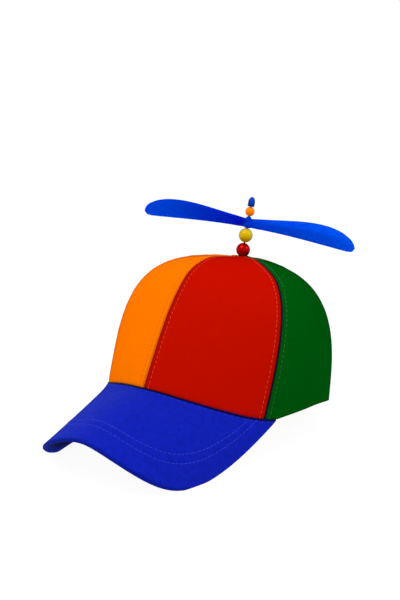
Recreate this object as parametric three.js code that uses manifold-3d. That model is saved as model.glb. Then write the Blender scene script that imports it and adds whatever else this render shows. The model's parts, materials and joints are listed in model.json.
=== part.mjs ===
// A propeller beanie: a cloth cap of six sewn panels with a curved peak, and a propeller that spins
// on a mast of beads. It stands as it does on a table, on its back hem and both sides of its peak.
// Millimetres, +Z up, the peak towards -Y and the wearer's left at +X. The origin is on the ground
// under the middle of the cap's box.
import * as THREE from "three";
import { mergeVertices } from "three/addons/utils/BufferGeometryUtils.js";
import Module from "manifold-3d";

const wasm = await Module();
wasm.setup();
const radians = THREE.MathUtils.degToRad;

// Cloth, seams and clearances
const clothWall = 2;
const seamGap = 0.3;
const restGap = 0.3;
const bearingGap = 0.3;
const floorPress = 0.8;

// Crown, measured in the cap's own frame, with the temples' hem at height 0
const crownHalfLength = 100;
const crownHalfWidth = 88;
const crownHeight = 121.5;
const apexSetback = 3;
const apexSlope = -9;
const frontFullness = 1.7;
const backFullness = 2.3;
const hemSideHeight = 12;
const hemBackHeight = 10;
const templeAngle = 68;

// The wall at equal turns from the front centre round to the back centre: its lean at the hem in
// degrees, and how far up and in its curve is pulled, as shares of the crown's height and of the
// way to the apex
const crownProfile = [
  { lean: 9, upright: 0.95, shoulder: 0.69 },
  { lean: 0, upright: 0.75, shoulder: 0.9 },
  { lean: -5.5, upright: 0.58, shoulder: 0.93 },
  { lean: 12, upright: 0.77, shoulder: 0.66 },
  { lean: 21, upright: 0.93, shoulder: 0.57 },
];

// Seams of the six panels, in degrees from the front centre to the wearer's left
const seamAngle = { front: 0, side: 61.5, rear: 131, back: 180 };

// Peak
const peakReach = 129;
const peakArch = 53.8;
const peakFall = 93;
const peakFan = 0.19;
const peakThickness = 3;
const archPower = 1.69;
const archShoulder = 0.23;
const shoulderPower = 5;
const archSoftness = 0.15;
const outlinePower = 2.53;
const curlDrop = 21;
const curlTuck = 0.22;
const curlPower = 3.65;
const peakEndShare = 0.99;

// Mast and beads
const mastLeanForward = 6;
const mastLeanLeft = 3;
const pinRadius = 0.8;
const pinHeadRadius = 6;
const pinHeadThickness = 1.2;
const pinHeadDrop = 1.1;
const eyeletRadius = 2;
const largeBeadRadius = 5.7;
const smallBeadRadius = 3.8;
const mastCapRadius = 2.9;
const mastCapLength = 8.1;
const mastCapBoreDepth = 5.5;

// Propeller
const hubRadius = 2.2;
const hubNeckRadius = 1.5;
const hubLength = 10.4;
const bladeSpan = 90;
const bladeWidth = 23.4;
const bladeDrop = 3;
const bladeRootPitch = 55;
const bladeTipPitch = 33;
const bladeRootThickness = 1.9;
const bladeTipThickness = 1.2;
const bladeTurn = 22;

// Edges of a blade beside its spoke line: the place as a share of the span, the two edges as
// shares of the blade's width
const bladeStations = [
  { place: 0.012, leading: 0.12, trailing: 0.12 },
  { place: 0.07, leading: 0.23, trailing: 0.16 },
  { place: 0.18, leading: 0.28, trailing: 0.19 },
  { place: 0.33, leading: 0.41, trailing: 0.23 },
  { place: 0.5, leading: 0.57, trailing: 0.29 },
  { place: 0.65, leading: 0.65, trailing: 0.35 },
  { place: 0.78, leading: 0.61, trailing: 0.41 },
  { place: 0.89, leading: 0.41, trailing: 0.465 },
  { place: 0.96, leading: 0.15, trailing: 0.48 },
  { place: 0.99, leading: -0.07, trailing: 0.43 },
  { place: 1, leading: -0.15, trailing: 0.36 },
];

// How finely the round forms are cut
const panelColumns = 10;
const panelRows = 12;
const templeColumns = 3;
const peakRows = 9;
const roundSides = 16;
const domeSteps = 5;
const sectionSides = 10;

const colours = {
  orange: 0xfd7601,
  red: 0xbc0f01,
  green: 0x01520c,
  peakBlue: 0x1020ad,
  bladeBlue: 0x0446d2,
  capBlue: 0x0a3cc0,
  beadRed: 0xa80808,
  beadYellow: 0xd2b103,
  beadOrange: 0xfd8704,
  steel: 0xb8bcc2,
};

const apex = new THREE.Vector3(0, apexSetback, crownHeight);
const boreRadius = pinRadius + bearingGap;
const temple = radians(templeAngle);

function signedPower(value, power) {
  return Math.sign(value) * Math.abs(value) ** power;
}

// The hem's outline seen from above
function hemPlan(angle) {
  const fore = Math.cos(angle);
  const power = 2 / (fore > 0 ? frontFullness : backFullness);
  const x = crownHalfWidth * signedPower(Math.sin(angle), power);
  const y = -crownHalfLength * signedPower(fore, power);
  return new THREE.Vector2(x, y);
}

const templePlan = hemPlan(temple);

// The hem's outline moved inwards by a distance
function hemInset(angle, distance) {
  const step = 0.001;
  const along = hemPlan(angle + step).sub(hemPlan(angle - step)).normalize();
  return hemPlan(angle).addScaledVector(new THREE.Vector2(-along.y, along.x), distance);
}

// Fall of the arch from its middle (0) to the temples (1), rounded over at the middle
function archDrop(across) {
  const soft = (value) => (value ** 2 + archSoftness ** 2) ** (archPower / 2) - archSoftness ** archPower;
  const drop = soft(across) / soft(1);
  return (drop + archShoulder * across ** shoulderPower) / (1 + archShoulder);
}

// Height of the arched surface that the peak lies in and that cuts the front of the hem
function archHeight(plan) {
  const forward = (templePlan.y - plan.y) / peakReach;
  const reached = Math.max(forward, 0);
  const drop = archDrop(Math.abs(plan.x / templePlan.x));
  const arch = 1 - (1 + peakFan * reached) * drop + (peakFan * reached) / 2;
  return peakArch * arch - peakFall * forward;
}

function hemHeight(angle, plan) {
  if (Math.abs(angle) <= temple) {
    return archHeight(plan);
  }
  const back = (plan.y - templePlan.y) / (crownHalfLength - templePlan.y);
  return hemBackHeight * back + hemSideHeight * 4 * back * (1 - back);
}

function hemPoint(angle) {
  const plan = hemPlan(angle);
  return new THREE.Vector3(plan.x, plan.y, hemHeight(angle, plan));
}

// The hem's inner edge, level with its outer edge, or on the arched surface at the front
function innerHemPoint(angle) {
  const inset = hemInset(angle, clothWall);
  const height = Math.abs(angle) <= temple ? archHeight(inset) : hemPoint(angle).z;
  return new THREE.Vector3(inset.x, inset.y, height);
}

// A column of the crown's profile at any angle: the cosine series through its rows, which is
// smooth and alike on both sides
function aroundCrown(column, angle) {
  const spans = crownProfile.length - 1;
  const endShare = (row) => (row === 0 || row === spans ? 0.5 : 1);
  const waves = crownProfile.map((_, wave) => {
    const parts = crownProfile.map((values, row) => {
      return endShare(row) * values[column] * Math.cos((Math.PI * wave * row) / spans);
    });
    const amount = parts.reduce((sum, part) => sum + part, 0);
    return endShare(wave) * amount * Math.cos(wave * angle);
  });
  return (2 / spans) * waves.reduce((sum, wave) => sum + wave, 0);
}

// The curve of the crown from the hem at one angle up to the apex
function crownCurve(angle) {
  const foot = hemPoint(angle);
  const inward = apex.clone().sub(foot).setZ(0);
  const reach = inward.length();
  inward.normalize();
  const rise = (crownHeight - foot.z) * aroundCrown("upright", angle);
  const flat = reach * aroundCrown("shoulder", angle);
  const leanIn = Math.tan(radians(aroundCrown("lean", angle))) * rise;
  const tilt = Math.tan(radians(apexSlope)) * flat * Math.cos(angle);
  const lower = foot.clone().addScaledVector(inward, leanIn).setZ(foot.z + rise);
  const upper = apex.clone().addScaledVector(inward, -flat).setZ(crownHeight + tilt);
  return new THREE.CubicBezierCurve3(foot, lower, upper, apex);
}

function crownPoint(angle, share) {
  return crownCurve(angle).getPoint(share);
}

// Directions on a surface given by two values: along the first, and out of the surface
function surfaceFrame(point, first, second) {
  const step = 0.002;
  const along = point(first + step, second).sub(point(first - step, second)).normalize();
  const up = point(first, second + step).sub(point(first, second - step)).normalize();
  const out = new THREE.Vector3().crossVectors(along, up).normalize();
  return { along, out };
}

// Share of the crown's curve at which it reaches the eyelet round the apex
function eyeletShare(angle) {
  const curve = crownCurve(angle);
  let low = 0.5;
  let high = 1;
  for (let turn = 0; turn < 40; turn += 1) {
    const middle = (low + high) / 2;
    const point = curve.getPoint(middle);
    const away = Math.hypot(point.x - apex.x, point.y - apex.y);
    if (away > eyeletRadius) {
      low = middle;
    } else {
      high = middle;
    }
  }
  return high;
}

function evenSteps(from, to, count) {
  return Array.from({ length: count + 1 }, (_, step) => from + ((to - from) * step) / count);
}

// One closed solid between an outer and an inner grid of points with the same rows and columns
function shellGeometry(outer, inner) {
  const columns = outer.length;
  const rows = outer[0].length;
  const points = [...outer.flat(), ...inner.flat()];
  const outside = (column, row) => column * rows + row;
  const inside = (column, row) => columns * rows + outside(column, row);
  const faces = [];
  const quad = (a, b, c, d) => faces.push(a, b, c, a, c, d);
  for (let column = 0; column + 1 < columns; column += 1) {
    const next = column + 1;
    for (let row = 0; row + 1 < rows; row += 1) {
      quad(outside(column, row), outside(next, row), outside(next, row + 1), outside(column, row + 1));
      quad(inside(column, row + 1), inside(next, row + 1), inside(next, row), inside(column, row));
    }
    quad(inside(column, 0), inside(next, 0), outside(next, 0), outside(column, 0));
    const last = rows - 1;
    quad(outside(column, last), outside(next, last), inside(next, last), inside(column, last));
  }
  for (let row = 0; row + 1 < rows; row += 1) {
    const end = columns - 1;
    quad(inside(0, row), outside(0, row), outside(0, row + 1), inside(0, row + 1));
    quad(outside(end, row), inside(end, row), inside(end, row + 1), outside(end, row + 1));
  }
  const geometry = new THREE.BufferGeometry().setFromPoints(points);
  geometry.setIndex(faces);
  return geometry;
}

// A crown panel between its first and last angle, drawn back from both seams by half their gap
function panelGeometry(angles) {
  const outer = [];
  const inner = [];
  angles.forEach((angle, column) => {
    const atStart = column === 0 ? 1 : 0;
    const atEnd = column === angles.length - 1 ? 1 : 0;
    const drawBack = ((atStart - atEnd) * seamGap) / 2;
    const top = eyeletShare(angle);
    const outerColumn = [];
    const innerColumn = [];
    for (const share of evenSteps(0, top, panelRows)) {
      const { along, out } = surfaceFrame(crownPoint, angle, share);
      const point = crownPoint(angle, share);
      const under = share === 0 ? innerHemPoint(angle) : point.clone().addScaledVector(out, -clothWall);
      outerColumn.push(point.addScaledVector(along, drawBack));
      innerColumn.push(under.addScaledVector(along, drawBack));
    }
    outer.push(outerColumn);
    inner.push(innerColumn);
  });
  return shellGeometry(outer, inner);
}

// The peak's free edge seen from above, from one temple (-90 degrees) round to the other
function peakOutline(turn) {
  const x = templePlan.x * signedPower(Math.sin(turn), 2 / outlinePower);
  const y = templePlan.y - peakReach * Math.abs(Math.cos(turn)) ** (2 / outlinePower);
  return new THREE.Vector2(x, y);
}

// A point of the peak's upper face: share 0 at the hem, 1 at the free edge, and below 0 on the
// margin under the crown's wall. The sides curl down and in towards the front corners.
function peakPoint(angle, share) {
  const free = peakOutline((angle / temple) * (Math.PI / 2));
  const margin = Math.max(-share, 0) * clothWall;
  const plan = hemInset(angle, margin).lerp(free, Math.max(share, 0));
  const height = archHeight(plan) - restGap;
  const forward = THREE.MathUtils.clamp((templePlan.y - plan.y) / peakReach, 0, 1);
  const across = Math.abs(plan.x / templePlan.x);
  const outward = 1 - (1 - Math.max(share, 0)) ** 2;
  const curl = Math.sin((forward * Math.PI) / 2) * across ** curlPower * outward;
  return new THREE.Vector3(plan.x * (1 - curlTuck * curl), plan.y, height - curlDrop * curl);
}

function peakGeometry(angles) {
  const shares = [-1, ...evenSteps(0, 1, peakRows)];
  const upper = [];
  const lower = [];
  for (const angle of angles) {
    const column = shares.map((share) => peakPoint(angle, share));
    const under = shares.map((share, row) => {
      const { out } = surfaceFrame(peakPoint, angle, share);
      return column[row].clone().addScaledVector(out, peakThickness);
    });
    upper.push(column);
    lower.push(under);
  }
  return shellGeometry(lower, upper);
}

function toManifold(geometry) {
  const bare = geometry.clone();
  bare.deleteAttribute("normal");
  bare.deleteAttribute("uv");
  const merged = mergeVertices(bare);
  const vertProperties = new Float32Array(merged.attributes.position.array);
  const triVerts = new Uint32Array(merged.index.array);
  return new wasm.Manifold(new wasm.Mesh({ numProp: 3, vertProperties, triVerts }));
}

function toGeometry(manifold) {
  const mesh = manifold.getMesh();
  const geometry = new THREE.BufferGeometry();
  geometry.setAttribute("position", new THREE.BufferAttribute(mesh.vertProperties, 3));
  geometry.setIndex(new THREE.BufferAttribute(mesh.triVerts, 1));
  return geometry;
}

// A round piece turned about +Z from a profile of radius and height
function turned(profile) {
  const points = profile.map(([radius, height]) => new THREE.Vector2(radius, height));
  return new THREE.LatheGeometry(points, roundSides).rotateX(Math.PI / 2);
}

// Profile points of a dome from its rim up to its crown, on the axis
function domeProfile(radius, base) {
  return evenSteps(0, Math.PI / 2, domeSteps).map((turn) => {
    const away = turn === Math.PI / 2 ? 0 : radius * Math.cos(turn);
    return [away, base + radius * Math.sin(turn)];
  });
}

function beadGeometry(radius) {
  const edge = Math.acos(boreRadius / radius);
  const arc = evenSteps(-edge, edge, domeSteps * 2);
  const profile = arc.map((turn) => [radius * Math.cos(turn), radius * Math.sin(turn)]);
  return turned([...profile, profile[0]]);
}

function mastCapGeometry() {
  const shoulder = mastCapLength - mastCapRadius;
  const chamfer = restGap;
  return turned([
    [0, mastCapBoreDepth],
    [boreRadius, mastCapBoreDepth],
    [boreRadius, 0],
    [mastCapRadius - chamfer, 0],
    [mastCapRadius, chamfer],
    ...domeProfile(mastCapRadius, shoulder),
  ]);
}

function pinGeometry(headTop, tip) {
  return turned([
    [0, headTop - pinHeadThickness],
    [pinHeadRadius, headTop - pinHeadThickness],
    [pinHeadRadius, headTop],
    [pinRadius, headTop],
    [pinRadius, tip],
    [0, tip],
  ]);
}

// One blade along +X, a lens-shaped section swept out with a twist that eases towards the tip
function bladeGeometry() {
  const rings = bladeStations.map(({ place, leading, trailing }) => {
    const pitch = radians(bladeRootPitch + (bladeTipPitch - bladeRootPitch) * place);
    const thickness = bladeRootThickness + (bladeTipThickness - bladeRootThickness) * place;
    const chord = new THREE.Vector3(0, Math.cos(pitch), Math.sin(pitch));
    const face = new THREE.Vector3(0, -Math.sin(pitch), Math.cos(pitch));
    const spoke = new THREE.Vector3(bladeSpan * place, 0, -bladeDrop * place ** 2);
    const middle = ((leading - trailing) / 2) * bladeWidth;
    const half = ((leading + trailing) / 2) * bladeWidth;
    return Array.from({ length: sectionSides }, (_, side) => {
      const turn = (side / sectionSides) * 2 * Math.PI;
      const point = spoke.clone().addScaledVector(chord, middle + half * Math.cos(turn));
      return point.addScaledVector(face, (thickness / 2) * Math.sin(turn));
    });
  });
  const faces = [];
  const last = (rings.length - 1) * sectionSides;
  for (let side = 0; side < sectionSides; side += 1) {
    const next = (side + 1) % sectionSides;
    for (let ring = 0; ring < last; ring += sectionSides) {
      const above = ring + sectionSides;
      faces.push(ring + side, ring + next, above + next, ring + side, above + next, above + side);
    }
    if (side > 0 && next > 0) {
      faces.push(0, next, side, last, last + side, last + next);
    }
  }
  const geometry = new THREE.BufferGeometry().setFromPoints(rings.flat());
  geometry.setIndex(faces);
  return geometry;
}

// Hub and two blades in one piece, bored for the mast, with the blades' spokes at height 0
function propellerGeometry() {
  const half = hubLength / 2;
  const hub = turned([
    [0, -half],
    [hubRadius, -half],
    [hubRadius, half - hubRadius],
    [(hubRadius + hubNeckRadius) / 2, half - hubNeckRadius / 2],
    [hubNeckRadius, half],
    [0, half],
  ]);
  const bore = new THREE.CylinderGeometry(boreRadius, boreRadius, hubLength * 2, roundSides);
  bore.rotateX(Math.PI / 2);
  const blade = bladeGeometry();
  const opposite = blade.clone().rotateZ(Math.PI);
  const solid = toManifold(hub).add(toManifold(blade)).add(toManifold(opposite));
  return toGeometry(solid.subtract(toManifold(bore)));
}

function piece(name, geometry, colour, roughness, metalness = 0) {
  const material = new THREE.MeshStandardMaterial({ color: colour, roughness, metalness });
  const mesh = new THREE.Mesh(geometry, material);
  mesh.name = name;
  return mesh;
}

function cloth(name, geometry, colour) {
  const clothRoughness = 0.9;
  return piece(name, geometry, colour, clothRoughness);
}

function plastic(name, geometry, colour) {
  const plasticRoughness = 0.3;
  return piece(name, geometry, colour, plasticRoughness);
}

// Heights of one geometry's points once the cap is tilted back by a pitch
function heightsAtPitch(geometry, pitch) {
  const turnedCopy = geometry.clone().rotateX(-pitch);
  turnedCopy.computeBoundingBox();
  return turnedCopy.boundingBox.min.z;
}

// The pitch at which the back hem and the peak's sides touch one level floor
function restingPitch(peak, backHem) {
  let low = 0;
  let high = Math.PI / 4;
  for (let turn = 0; turn < 40; turn += 1) {
    const middle = (low + high) / 2;
    if (heightsAtPitch(peak, middle) < heightsAtPitch(backHem, middle)) {
      low = middle;
    } else {
      high = middle;
    }
  }
  return (low + high) / 2;
}

// Cloth that rests on the floor is pressed flat there
function pressedFlat(geometry, pitch, floor) {
  const reach = 4 * (crownHalfLength + peakReach);
  const above = new THREE.BoxGeometry(reach, reach, reach).translate(0, 0, floor + reach / 2);
  above.rotateX(pitch);
  return toGeometry(toManifold(geometry).intersect(toManifold(above)));
}

function panelAngles(from, to) {
  return evenSteps(radians(from), radians(to), panelColumns);
}

const frontAngles = panelAngles(seamAngle.front, seamAngle.side);
const sideAngles = [radians(seamAngle.side), ...panelAngles(templeAngle, seamAngle.rear)];
const backAngles = panelAngles(seamAngle.rear, seamAngle.back);
const mirrored = (angles) => angles.map((angle) => -angle).reverse();

const peakEnd = temple * peakEndShare;
const cornerAngles = evenSteps(radians(seamAngle.side), peakEnd, templeColumns).slice(1);
const peakSide = [...frontAngles.slice(1), ...cornerAngles];
const peakAngles = [...mirrored(peakSide), 0, ...peakSide];

const peakSolid = peakGeometry(peakAngles);
const backLeftSolid = panelGeometry(backAngles);
const backRightSolid = panelGeometry(mirrored(backAngles));
const restPitch = restingPitch(peakSolid, backLeftSolid);
const floor = heightsAtPitch(backLeftSolid, restPitch) + floorPress;
const pressed = (geometry) => pressedFlat(geometry, restPitch, floor);

const cap = new THREE.Group();
cap.add(
  cloth("crown_front_left", panelGeometry(frontAngles), colours.red),
  cloth("crown_front_right", panelGeometry(mirrored(frontAngles)), colours.orange),
  cloth("crown_side_left", panelGeometry(sideAngles), colours.green),
  cloth("crown_side_right", panelGeometry(mirrored(sideAngles)), colours.green),
  cloth("crown_back_left", pressed(backLeftSolid), colours.orange),
  cloth("crown_back_right", pressed(backRightSolid), colours.red),
  cloth("peak", pressed(peakSolid), colours.peakBlue),
);

// Heights up the mast, each piece standing on the one below it
const lowerBeadHeight = Math.sqrt(largeBeadRadius ** 2 - eyeletRadius ** 2) + restGap;
const upperOfTwoHeight = lowerBeadHeight + 2 * largeBeadRadius + restGap;
const propellerHeight = upperOfTwoHeight + largeBeadRadius + restGap + hubLength / 2;
const smallBeadHeight = propellerHeight + hubLength / 2 + restGap + smallBeadRadius;
const mastCapHeight = smallBeadHeight + smallBeadRadius + restGap;
const pinTip = mastCapHeight + mastCapBoreDepth - restGap;
const pinHeadTop = -clothWall - pinHeadDrop;

const mast = new THREE.Group();
mast.position.copy(apex);
mast.rotation.set(radians(mastLeanForward), radians(mastLeanLeft), 0);
const pinRoughness = 0.35;
mast.add(piece("mast_pin", pinGeometry(pinHeadTop, pinTip), colours.steel, pinRoughness, 1));

function onMast(mesh, height) {
  mesh.position.z = height;
  mast.add(mesh);
  return mesh;
}

onMast(plastic("lower_bead", beadGeometry(largeBeadRadius), colours.beadRed), lowerBeadHeight);
onMast(plastic("middle_bead", beadGeometry(largeBeadRadius), colours.beadYellow), upperOfTwoHeight);
onMast(plastic("upper_bead", beadGeometry(smallBeadRadius), colours.beadOrange), smallBeadHeight);
onMast(plastic("mast_cap", mastCapGeometry(), colours.capBlue), mastCapHeight);
const propeller = onMast(plastic("propeller", propellerGeometry(), colours.bladeBlue), propellerHeight);
propeller.rotation.z = radians(bladeTurn);
cap.add(mast);

// Stood on the floor, over the middle of its box
cap.rotation.x = -restPitch;
const beanie = new THREE.Group();
beanie.add(cap);
beanie.updateMatrixWorld(true);
const box = new THREE.Box3().setFromObject(beanie, true);
const middle = box.getCenter(new THREE.Vector3());
cap.position.set(-middle.x, -middle.y, -box.min.z);

export default beanie;
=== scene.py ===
import json
import math

import bmesh
import bpy
import numpy as np
from mathutils import Matrix, Vector


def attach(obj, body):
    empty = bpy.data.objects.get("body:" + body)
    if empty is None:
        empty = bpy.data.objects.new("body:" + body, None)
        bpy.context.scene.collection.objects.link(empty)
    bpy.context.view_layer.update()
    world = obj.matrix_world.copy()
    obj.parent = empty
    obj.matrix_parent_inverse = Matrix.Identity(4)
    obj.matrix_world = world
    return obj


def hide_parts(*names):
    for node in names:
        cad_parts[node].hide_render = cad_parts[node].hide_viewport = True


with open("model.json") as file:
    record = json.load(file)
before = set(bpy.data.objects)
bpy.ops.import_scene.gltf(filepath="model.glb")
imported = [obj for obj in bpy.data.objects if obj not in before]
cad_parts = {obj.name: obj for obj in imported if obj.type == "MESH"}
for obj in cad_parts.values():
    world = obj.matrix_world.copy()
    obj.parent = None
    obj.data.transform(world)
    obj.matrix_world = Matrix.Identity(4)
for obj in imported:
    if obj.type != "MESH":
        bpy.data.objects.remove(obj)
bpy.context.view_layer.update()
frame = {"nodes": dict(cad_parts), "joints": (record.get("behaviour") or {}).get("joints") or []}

MM = 0.001

# Crown
CROWN_HALF_LENGTH = 100 * MM
CROWN_HALF_WIDTH = 88 * MM
CROWN_HEIGHT = 121.5 * MM
APEX = np.array([0, 3 * MM, CROWN_HEIGHT])
APEX_SLOPE = math.radians(-9)
FRONT_FULLNESS = 1.7
BACK_FULLNESS = 2.3
HEM_SIDE_HEIGHT = 12 * MM
HEM_BACK_HEIGHT = 10 * MM
TEMPLE = math.radians(68)
EYELET_RADIUS = 2 * MM
MAST_WELT = 0.8 * MM
MAST_WELT_RADIUS = 5.6 * MM
MAST_WELT_REACH = 2.4 * MM
TOP_SAG = 1 * MM
TOP_SAG_PLACE = np.array([-10, 12]) * MM
TOP_SAG_REACH = 7 * MM
CLOTH_WALL = 2 * MM

# The wall at equal turns from the front centre to the back centre: its lean at the hem in
# degrees, and how far up and in its curve is pulled
CROWN_PROFILE = [
    {"lean": 9, "upright": 0.95, "shoulder": 0.69},
    {"lean": 0, "upright": 0.75, "shoulder": 0.9},
    {"lean": -5.5, "upright": 0.58, "shoulder": 0.93},
    {"lean": 12, "upright": 0.77, "shoulder": 0.66},
    {"lean": 21, "upright": 0.93, "shoulder": 0.57},
]

# Seams in degrees from the front centre to the wearer's left
SEAM_FRONT, SEAM_SIDE, SEAM_REAR, SEAM_BACK = 0, 61.5, 131, 180

# Degrees by which the seams wander on the way up to the apex
SEAM_WANDER = {
    SEAM_FRONT: [(0, 1), (0.2, 1.4), (0.45, 1.5), (0.65, -1.5), (0.81, -14), (0.9, -27), (1, -36)],
    SEAM_SIDE: [(0, 0), (0.3, 0.3), (0.5, 0.7), (0.7, 1.5), (0.8, 1.8), (0.89, 7), (0.96, 25), (1, 32)],
    SEAM_REAR: [(0, 0), (0.55, 0), (0.7, 3), (0.8, 10), (0.88, 21), (0.95, 28), (1, 30)],
    SEAM_BACK: [(0, 0), (0.6, 0), (0.8, 5), (1, 12)],
    -SEAM_BACK: [(0, 0), (0.6, 0), (0.8, 5), (1, 12)],
    -SEAM_REAR: [(0, 0), (0.6, 0), (0.8, 2), (1, 5)],
    -SEAM_SIDE: [(0, 0), (0.6, 0), (0.8, -3), (1, -12)],
}

# Peak
PEAK_REACH = 129 * MM
PEAK_ARCH = 53.8 * MM
PEAK_FALL = 93 * MM
PEAK_FAN = 0.19
PEAK_THICKNESS = 3 * MM
PEAK_END = 0.994
ARCH_POWER = 1.69
ARCH_SHOULDER = 0.23
SHOULDER_POWER = 5
ARCH_SOFTNESS = 0.15
OUTLINE_POWER = 2.53
CURL_DROP = 21 * MM
CURL_TUCK = 0.22
CURL_TUCK_RIGHT = 0.24
CURL_PULL_RIGHT = 4.5 * MM
CURL_POWER = 3.65
SEAT_GAP = 0.3 * MM

# Sewing
SEAM_DIP = 0.95 * MM
SEAM_ROLL = 1.1 * MM
STITCH_INSET = 4.3 * MM
STITCH_DRAW = 0.32 * MM
STITCH_GROOVE = 0.9 * MM
TURNED_EDGE_LIFT = 0.22 * MM
PUCKER_LIFT = 0.16 * MM
PUCKER_REACH = 7 * MM
CLOTH_DRIFT = 0.35 * MM
PEAK_ROWS = (0.903, 0.862)
PEAK_ROWS_NARROWING = 0.045
FLOOR_CLEARANCE = 1.6 * MM
FOLD_SHADE_REACH = 2.4 * MM
SEAM_SHADE_REACH = 2.2 * MM
HEM_PRESS = 1.9 * MM
HEM_TUCK = 0.55 * MM
HEM_TUCK_REACH = 2.4 * MM
HEM_TUCK_START = 12 * MM
SEAT_DROP = 1.6 * MM
SEAT_DIP = 1.3 * MM
SEAT_DIP_REACH = 7 * MM
PEAK_SPREAD = 1.1 * MM
PEAK_SPREAD_FROM = 40 * MM
UNDER_SHADE_REACH = 2.1 * MM
BEAD_SWELL = 0.15 * MM

# Mast, with heights measured along it from the apex
MAST_LEAN_FORWARD = math.radians(6)
MAST_LEAN_LEFT = math.radians(3)
PIN_RADIUS = 0.8 * MM
BORE_RADIUS = PIN_RADIUS + SEAT_GAP
LARGE_BEAD = 5.7 * MM
SMALL_BEAD = 3.8 * MM
MAST_CAP_RADIUS = 2.9 * MM
MAST_CAP_LENGTH = 8.1 * MM
MAST_CAP_BORE = 5.5 * MM
HUB_RADIUS = 2.2 * MM
HUB_NECK = 1.5 * MM
HUB_SWELL = 0.25 * MM
HUB_LENGTH = 10.4 * MM
HUB_FOOT_TRIM = 0.65 * MM
MIDDLE_BEAD_LIFT = 0.55 * MM
LOWER_BEAD_HEIGHT = math.sqrt(LARGE_BEAD**2 - EYELET_RADIUS**2) + SEAT_GAP
MIDDLE_BEAD_HEIGHT = LOWER_BEAD_HEIGHT + 2 * LARGE_BEAD + SEAT_GAP
PROPELLER_HEIGHT = MIDDLE_BEAD_HEIGHT + LARGE_BEAD + SEAT_GAP + HUB_LENGTH / 2
UPPER_BEAD_HEIGHT = PROPELLER_HEIGHT + HUB_LENGTH / 2 + SEAT_GAP + SMALL_BEAD
MAST_CAP_HEIGHT = UPPER_BEAD_HEIGHT + SMALL_BEAD + SEAT_GAP

# Blades
BLADE_SPAN = 90.8 * MM
BLADE_WIDTH = 23.4 * MM
BLADE_DROP = 2.2 * MM
BLADE_ROOT_PITCH = math.radians(55)
BLADE_TIP_PITCH = math.radians(33)
BLADE_ROOT_THICKNESS = 1.9 * MM
BLADE_TIP_THICKNESS = 1.2 * MM
BLADE_CAMBER = 0.9 * MM
BLADE_TURN = math.radians(22)

# A blade's two edges beside its spoke line: the place as a share of the span, and the edges as
# shares of the blade's width
BLADE_STATIONS = [
    {"place": 0.012, "leading": 0.17, "trailing": 0.19},
    {"place": 0.07, "leading": 0.22, "trailing": 0.2},
    {"place": 0.18, "leading": 0.3, "trailing": 0.21},
    {"place": 0.33, "leading": 0.43, "trailing": 0.24},
    {"place": 0.5, "leading": 0.585, "trailing": 0.29},
    {"place": 0.65, "leading": 0.665, "trailing": 0.35},
    {"place": 0.78, "leading": 0.625, "trailing": 0.41},
    {"place": 0.89, "leading": 0.43, "trailing": 0.465},
    {"place": 0.96, "leading": 0.15, "trailing": 0.48},
    {"place": 0.99, "leading": -0.07, "trailing": 0.43},
    {"place": 1, "leading": -0.15, "trailing": 0.36},
]

# Camera, round the cap's own origin
CAMERA_TURN = math.radians(35.358)
CAMERA_RISE = math.radians(13.845)
CAMERA_ROLL = math.radians(0.697)
CAMERA_DISTANCE = 865 * MM
CAMERA_AIM_LEFT = 10.5 * MM
CAMERA_AIM_UP = 82.8 * MM
CAMERA_LENS = 62.65


# The cap's stand on the floor, worked out from the propeller's axis
def turn_about_x(angle):
    c, s = math.cos(angle), math.sin(angle)
    return np.array([[1, 0, 0], [0, c, -s], [0, s, c]])


def turn_about_y(angle):
    c, s = math.cos(angle), math.sin(angle)
    return np.array([[c, 0, s], [0, 1, 0], [-s, 0, c]])


spin = frame["joints"][0]
rest_pitch = math.atan2(spin["axis"][1], spin["axis"][2]) + MAST_LEAN_FORWARD
cap_turn = turn_about_x(-rest_pitch)
mast_turn = turn_about_x(MAST_LEAN_FORWARD) @ turn_about_y(MAST_LEAN_LEFT)
hub_in_cap = APEX + mast_turn @ np.array([0, 0, PROPELLER_HEIGHT])
cap_place = np.array(spin["pos_m"]) - cap_turn @ hub_in_cap


def stand(points):
    """Points of the cap's own frame on the floor, with cloth that meets the floor pressed flat."""
    stood = points @ cap_turn.T + cap_place
    stood[..., 2] = np.maximum(stood[..., 2], 0)
    return stood


def up_the_mast(points, height):
    """Points turned about the mast's axis, moved up the mast and stood on the floor."""
    raised = points + np.array([0, 0, height])
    return (raised @ mast_turn.T + APEX) @ cap_turn.T + cap_place


# Surfaces of the crown and peak
def signed_power(value, power):
    return np.sign(value) * np.abs(value) ** power


def unit(vectors):
    return vectors / np.linalg.norm(vectors, axis=-1, keepdims=True)


def hem_plan(angle):
    """The hem's outline seen from above."""
    fore = np.cos(angle)
    power = np.where(fore > 0, 2 / FRONT_FULLNESS, 2 / BACK_FULLNESS)
    x = CROWN_HALF_WIDTH * signed_power(np.sin(angle), power)
    y = -CROWN_HALF_LENGTH * signed_power(fore, power)
    return np.stack([x, y], axis=-1)


TEMPLE_PLAN = hem_plan(TEMPLE)


def hem_inset(angle, distance):
    """The hem's outline moved inwards."""
    step = 0.001
    along = unit(hem_plan(angle + step) - hem_plan(angle - step))
    inward = np.stack([-along[..., 1], along[..., 0]], axis=-1)
    return hem_plan(angle) + inward * distance[..., None]


def arch_drop(across):
    """Fall of the arch from its middle (0) to the temples (1)."""
    def soft(value):
        return (value**2 + ARCH_SOFTNESS**2) ** (ARCH_POWER / 2) - ARCH_SOFTNESS**ARCH_POWER
    return (soft(across) / soft(1) + ARCH_SHOULDER * across**SHOULDER_POWER) / (1 + ARCH_SHOULDER)


def forward_share(plan):
    return (TEMPLE_PLAN[1] - plan[..., 1]) / PEAK_REACH


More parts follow.
